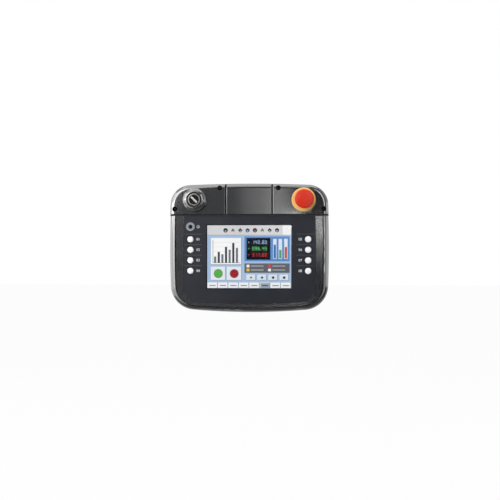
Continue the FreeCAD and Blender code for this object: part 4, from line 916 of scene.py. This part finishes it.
# Emergency stop
# A red polyamide mushroom head on a black plunger, over a yellow ring that marks it. The head is
# moulded glossy, with two low turn-to-release arrows standing on its crown. A wire spring lifts it.
stop_gloss = {"IOR": 1.53, "Specular IOR Level": 0.18}
stop_red = moulded_plastic("glossy_red_polyamide", "#cb280f", "#d22e14", 0.32, 1.6, 0.004, **stop_gloss)
stop_yellow = moulded_plastic("yellow_polyamide", "#f9bd68", "#ffca7a", 0.38, 0.8, 0.01, **stop_gloss)
coat(stop_red, "estop_mushroom")
coat(stop_yellow, "estop_collar")
coat(black_plastic, "estop_barrel", "estop_plunger", "estop_contact_block")
coat(plated_steel, "estop_locknut")

SPRING_WIRE_RADIUS = 0.45 * MM
SPRING_TURNS = 5


def spring_tree():
    """Coil of round wire that rises along Z from the origin."""
    kinds = {name: "NodeSocketFloat" for name in ("Wire radius", "Coil radius", "Length", "Turns")}
    tree, given = node_tree("coil_spring", {**kinds, "Finish": "NodeSocketMaterial"})
    path = {"Resolution": 40, "Rotations": given["Turns"], "Height": given["Length"],
            "Start Radius": given["Coil radius"], "End Radius": given["Coil radius"]}
    wire = {"Resolution": 12, "Radius": given["Wire radius"]}
    swept = {"Curve": add(tree, "GeometryNodeCurveSpiral", path),
             "Profile Curve": add(tree, "GeometryNodeCurvePrimitiveCircle", wire), "Fill Caps": True}
    real = add(tree, "GeometryNodeRealizeInstances", {0: add(tree, "GeometryNodeCurveToMesh", swept)})
    painted = {"Geometry": real, "Material": given["Finish"]}
    add(tree, "NodeGroupOutput", {0: add(tree, "GeometryNodeSetMaterial", painted)})
    return tree


# The coil takes the place, width and length of the CAD node's spring
spring_low, spring_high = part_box("estop_spring")
spring_axis = middle("estop_spring")
spring_length = spring_high.y - spring_low.y
spring_sizes = {
    "Wire radius": SPRING_WIRE_RADIUS,
    "Coil radius": (spring_high.x - spring_low.x) / 2 - SPRING_WIRE_RADIUS,
    "Length": spring_length - 2 * SPRING_WIRE_RADIUS,
    "Turns": float(SPRING_TURNS),
    "Finish": plated_steel,
}
spring = grown("estop_coil", bpy.data.meshes.new("estop_coil"), spring_tree(), spring_sizes)
spring_foot = Vector((spring_axis.x, spring_low.y + SPRING_WIRE_RADIUS, spring_axis.z))
spring.data.transform(Matrix.Translation(spring_foot) @ FACING_BACK)
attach(spring, "root")
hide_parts("estop_spring")
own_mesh(spring)

ARROW_RADIUS = 6.8 * MM
ARROW_WIDTH = 1.3 * MM
ARROW_HEAD = 2.9 * MM
ARROW_HEAD_WIDTH = 2.4 * ARROW_WIDTH
ARROW_TIP_WIDTH = 0.05 * MM
ARROW_RISE = 0.25 * MM
ARROW_ROOT = -0.3
ARROW_SWEEP = 95
CROWN_DROP = 0.9 * MM
CROWN_MARGIN = 2.6 * MM
head_low, head_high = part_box("estop_mushroom")
head_top = head_low.y
head_axis = middle("estop_mushroom")
crown_reach = (head_high.x - head_low.x) / 2 - CROWN_MARGIN
crown_radius = (crown_reach ** 2 + CROWN_DROP ** 2) / (2 * CROWN_DROP)


def crown(reach):
    """Place along Y of the head's crown, a shallow sphere, at a distance from its axis."""
    return head_top + crown_radius - math.sqrt(crown_radius ** 2 - reach ** 2)


def arrow_corners(width):
    """Corners of a strip of one width that is let into the crown and stands on it."""
    sides = ((-1, ARROW_ROOT), (-1, 1.0), (1, 1.0), (1, ARROW_ROOT))
    reaches = [(ARROW_RADIUS + side * width / 2, lift) for side, lift in sides]
    return [(reach, crown(reach) - lift * ARROW_RISE) for reach, lift in reaches]


def shaft_corners(share):
    """Arrow's shaft, even all along."""
    return arrow_corners(ARROW_WIDTH)


def point_corners(share):
    """Arrow's head, narrowing to its tip."""
    return arrow_corners(ARROW_HEAD_WIDTH * (1 - share) + ARROW_TIP_WIDTH)


arrows = bmesh.new()
head_sweep = math.degrees(ARROW_HEAD / ARROW_RADIUS)
for start in (0, 180):
    neck = start + ARROW_SWEEP
    band_round(arrows, head_axis, start, neck, 24, shaft_corners)
    band_round(arrows, head_axis, neck, neck + head_sweep, 8, point_corners)
piece_from("estop_arrows", finished(arrows, "estop_arrows"), stop_red, "estop_head")

# Enabling switch behind the left grip
# A dull, grooved silicone button in a moulded frame on the rear shell, kept in by its own flange. Its
# white pin works a grey three-position contact block that stands on two legs inside.
button_rubber = moulded_plastic("silicone_rubber", "#222326", "#2a2b2f", 0.66, 0.5, 0.02)
coat(button_rubber, "enable_button")
coat(black_plastic, "enable_frame")
coat(white_plastic, "enable_plunger")
coat(ring_grey, "enable_contact_block")

# Cable gland and bracket inserts
# The gland is black polyamide with a rubber seal, nutted through the hump. The inserts are brass,
# pressed into the rear shell, with a 0.7 mm pitch thread.


def threaded_brass_inputs(tree, place):
    """Turned brass; the thread is drawn as 0.7 mm bands along the hole."""
    bands = {"Vector": place, "Scale": wave_scale(0.7 * MM)}
    thread = add(tree, "ShaderNodeTexWave", bands, wave_type="BANDS", bands_direction="Y")
    bump = {"Height": thread.outputs["Fac"], "Strength": 0.9, "Distance": 0.3 * MM}
    return {**brass_inputs(tree, place), "Normal": add(tree, "ShaderNodeBump", bump)}


coat(black_plastic, "gland_body", "gland_nut", "gland_locknut")
coat(seal_rubber, "gland_seal")
coat(surface("threaded_brass", threaded_brass_inputs), "mount_inserts")

# Floor, surroundings, lamps and camera
# A paper floor well below the panel, a white surround, and soft lamps and cards: bright ones to the
# left, weaker ones to the right, some above and below. The camera stands nearly in front.
CAMERA_DISTANCE = 0.85
CAMERA_TURN = math.radians(2.0)
RIM_PLANE = -0.050
WIDTH_IN_VIEW = 0.6822
AIM_X = 0.0011
AIM_Z = -0.0027
FLOOR_DROP = 0.30
FLOOR_HALF_WIDTH = 6.0
FLOOR_GLOW = 0.97
AMBIENT_LIGHT = 0.15
CURTAIN_DISTANCE = 2.4
CURTAIN_HALF_WIDTH = 3.2
CURTAIN_HEIGHT = 6.4
CURTAIN_END = -0.07
CURTAIN_LIFT = 2 * MM
CURTAIN_FOLD = 60 * MM
scene = bpy.context.scene
scene.view_settings.view_transform = "Standard"

floor_level = cad_low.z - FLOOR_DROP
floor_build = bmesh.new()
bmesh.ops.create_grid(floor_build, x_segments=1, y_segments=1, size=FLOOR_HALF_WIDTH)
floor_mesh = finished(floor_build, "floor")
floor_mesh.transform(Matrix.Translation((0, 0, floor_level)))
floor = bpy.data.objects.new("floor", floor_mesh)
scene.collection.objects.link(floor)

# A dark curtain behind the camera, with its end drawn over the floor up to the panel's front, as a
# studio has, keeps the front's own shades; no camera sees it
curtain_foot, curtain_top = floor_level + CURTAIN_LIFT, floor_level + CURTAIN_HEIGHT
curtain_line = (
    (CURTAIN_END, curtain_foot), (-CURTAIN_DISTANCE, curtain_foot), (-CURTAIN_DISTANCE, curtain_top)
)
curtain_build = bmesh.new()
curtain_rows = [
    [curtain_build.verts.new((side * CURTAIN_HALF_WIDTH, y, z)) for side in (-1, 1)]
    for y, z in curtain_line
]
for (left_near, right_near), (left_far, right_far) in zip(curtain_rows, curtain_rows[1:]):
    curtain_build.faces.new((left_near, left_far, right_far, right_near))
curtain_mesh = finished(curtain_build, "curtain")
curtain = bpy.data.objects.new("curtain", curtain_mesh)
curtain.visible_camera = False
scene.collection.objects.link(curtain)


def curtain_inputs(tree, place):
    """Black velvet with soft upright folds about 60 mm apart."""
    folds = {"Vector": place, "Scale": wave_scale(CURTAIN_FOLD), "Distortion": 2.0}
    waves = add(tree, "ShaderNodeTexWave", folds, wave_type="BANDS", bands_direction="X").outputs["Fac"]
    shades = {0: waves, 6: linear("#0a0a0b"), 7: linear("#151517")}
    return {
        "Base Color": add(tree, "ShaderNodeMix", shades, data_type="RGBA").outputs[2],
        "Roughness": 1.0,
        "Specular IOR Level": 0.0,
    }


curtain_mesh.materials.append(surface("black_velvet", curtain_inputs))


def seen_directly(tree):
    """1 for rays from the camera, from a reflection or through glass."""
    path = add(tree, "ShaderNodeLightPath").outputs
    seen = path["Is Camera Ray"]
    for ray in ("Is Glossy Ray", "Is Transmission Ray"):
        seen = add(tree, "ShaderNodeMath", {0: seen, 1: path[ray]}, operation="MAXIMUM")
    return seen


pure_white = linear("#ffffff")
floor_material = bpy.data.materials.new("pale_paper_floor")
floor_material.use_nodes = True
tree = floor_material.node_tree
tree.nodes.clear()
paper = add(tree, "ShaderNodeBsdfDiffuse", {"Color": linear("#f2f2f2")})
glow = add(tree, "ShaderNodeEmission", {"Color": pure_white, "Strength": 1.0})
glowing = add(tree, "ShaderNodeMath", {0: seen_directly(tree), 1: FLOOR_GLOW}, operation="MULTIPLY")
mixed = add(tree, "ShaderNodeMixShader", {0: glowing, 1: paper, 2: glow})
add(tree, "ShaderNodeOutputMaterial", {"Surface": mixed})
floor_mesh.materials.append(floor_material)

world = bpy.data.worlds.new("white_surround")
world.use_nodes = True
tree = world.node_tree
tree.nodes.clear()
ambient = add(tree, "ShaderNodeBackground", {"Color": pure_white, "Strength": AMBIENT_LIGHT})
backdrop = add(tree, "ShaderNodeBackground", {"Color": pure_white, "Strength": 1.0})
mixed = add(tree, "ShaderNodeMixShader", {0: seen_directly(tree), 1: ambient, 2: backdrop})
add(tree, "ShaderNodeOutputWorld", {"Surface": mixed})
scene.world = world


def soft_lamp(name, across, up, radiance, distance=1.2, gloss_only=False, matt_only=False):
    """Flat lamp that fills a range of directions from the panel, in degrees right and upwards."""
    turn, rise = math.radians(sum(across) / 2), math.radians(sum(up) / 2)
    lamp = bpy.data.lights.new(name, "AREA")
    lamp.shape = "RECTANGLE"
    lamp.size = 2 * distance * math.tan(math.radians(across[1] - across[0]) / 2)
    lamp.size_y = 2 * distance * math.tan(math.radians(up[1] - up[0]) / 2)
    lamp.energy = radiance * math.pi * lamp.size * lamp.size_y
    away = Vector((math.sin(turn) * math.cos(rise), -math.cos(turn) * math.cos(rise), math.sin(rise)))
    holder = bpy.data.objects.new(name, lamp)
    holder.location = Vector((0.0, RIM_PLANE, 0.0)) + distance * away
    holder.rotation_euler = (-away).to_track_quat("-Z", "Y").to_euler()
    holder.visible_camera = False
    holder.visible_diffuse = not gloss_only
    holder.visible_glossy = not matt_only
    scene.collection.objects.link(holder)


# Lamps; two of them light only the matt colours
soft_lamp("left_lower_lamp", (-46, -20), (-3, 5.5), 5.3)
soft_lamp("left_foot_lamp", (-46, -20), (-8, -3), 3.7)
soft_lamp("left_upper_lamp", (-78, -25), (5.5, 12), 7.8)
soft_lamp("left_corner_lamp", (-36, -14), (8, 36), 6.2)
soft_lamp("left_side_lamp", (-122, -46), (-12, 5.5), 2.1)
soft_lamp("top_front_lamp", (-13, 9), (16, 62), 1.75, matt_only=True)
soft_lamp("top_lamp", (-30, 30), (62, 112), 1.7, 1.0)
soft_lamp("right_front_lamp", (15, 62), (-7, 6), 1.2)
soft_lamp("right_side_lamp", (62, 122), (-9, 13), 1.3)
soft_lamp("camera_lamp", (0.5, 2.3), (1.0, 12.0), 1.5, 1.58)
soft_lamp("fill_lamp", (5, 45), (-28, -2), 1.1, 0.8, matt_only=True)

# Cards that show only in the gloss
soft_lamp("left_card", (-70, -36), (12, 36), 4.5, gloss_only=True)
soft_lamp("left_back_card", (-122, -70), (5.5, 40), 1.8, gloss_only=True)
soft_lamp("top_front_card", (-13, 9), (36, 62), 1.75, gloss_only=True)
soft_lamp("floor_card", (-50, 50), (-80, -30), 0.22, 0.33, gloss_only=True)
soft_lamp("left_high_card", (-62, -26), (36, 62), 2.3, gloss_only=True)
soft_lamp("left_foot_card", (-58, -20), (-34, -8), 1.4, 0.68, gloss_only=True)
soft_lamp("left_low_card", (-122, -46), (-28, -12), 1.6, 0.68, gloss_only=True)
soft_lamp("right_card", (15, 30), (5, 30), 4.6, gloss_only=True)
soft_lamp("right_foot_card", (18, 50), (-32, -7), 1.1, gloss_only=True)
soft_lamp("shoulder_card", (3.9, 5.0), (1.5, 4.6), 20.0, 1.57, gloss_only=True)
soft_lamp("camera_card", (2.3, 3.9), (1.0, 12.0), 1.0, 1.58, gloss_only=True)
soft_lamp("middle_card", (-3.0, 0.5), (1.0, 12.0), 0.75, 1.58, gloss_only=True)
soft_lamp("room_card", (-19, -3.0), (3.5, 14), 0.17, 1.6, gloss_only=True)
soft_lamp("low_room_card", (-19, -3.0), (-12, 3.5), 0.1, 1.6, gloss_only=True)

camera = bpy.data.cameras.new("camera")
camera.sensor_width = 36.0
camera.lens = camera.sensor_width * CAMERA_DISTANCE / WIDTH_IN_VIEW
viewpoint = bpy.data.objects.new("camera", camera)
viewpoint.location = (AIM_X + CAMERA_DISTANCE * math.sin(CAMERA_TURN),
                      RIM_PLANE - CAMERA_DISTANCE * math.cos(CAMERA_TURN), AIM_Z)
viewpoint.rotation_euler = (math.pi / 2, 0.0, CAMERA_TURN)
scene.collection.objects.link(viewpoint)
scene.camera = viewpoint
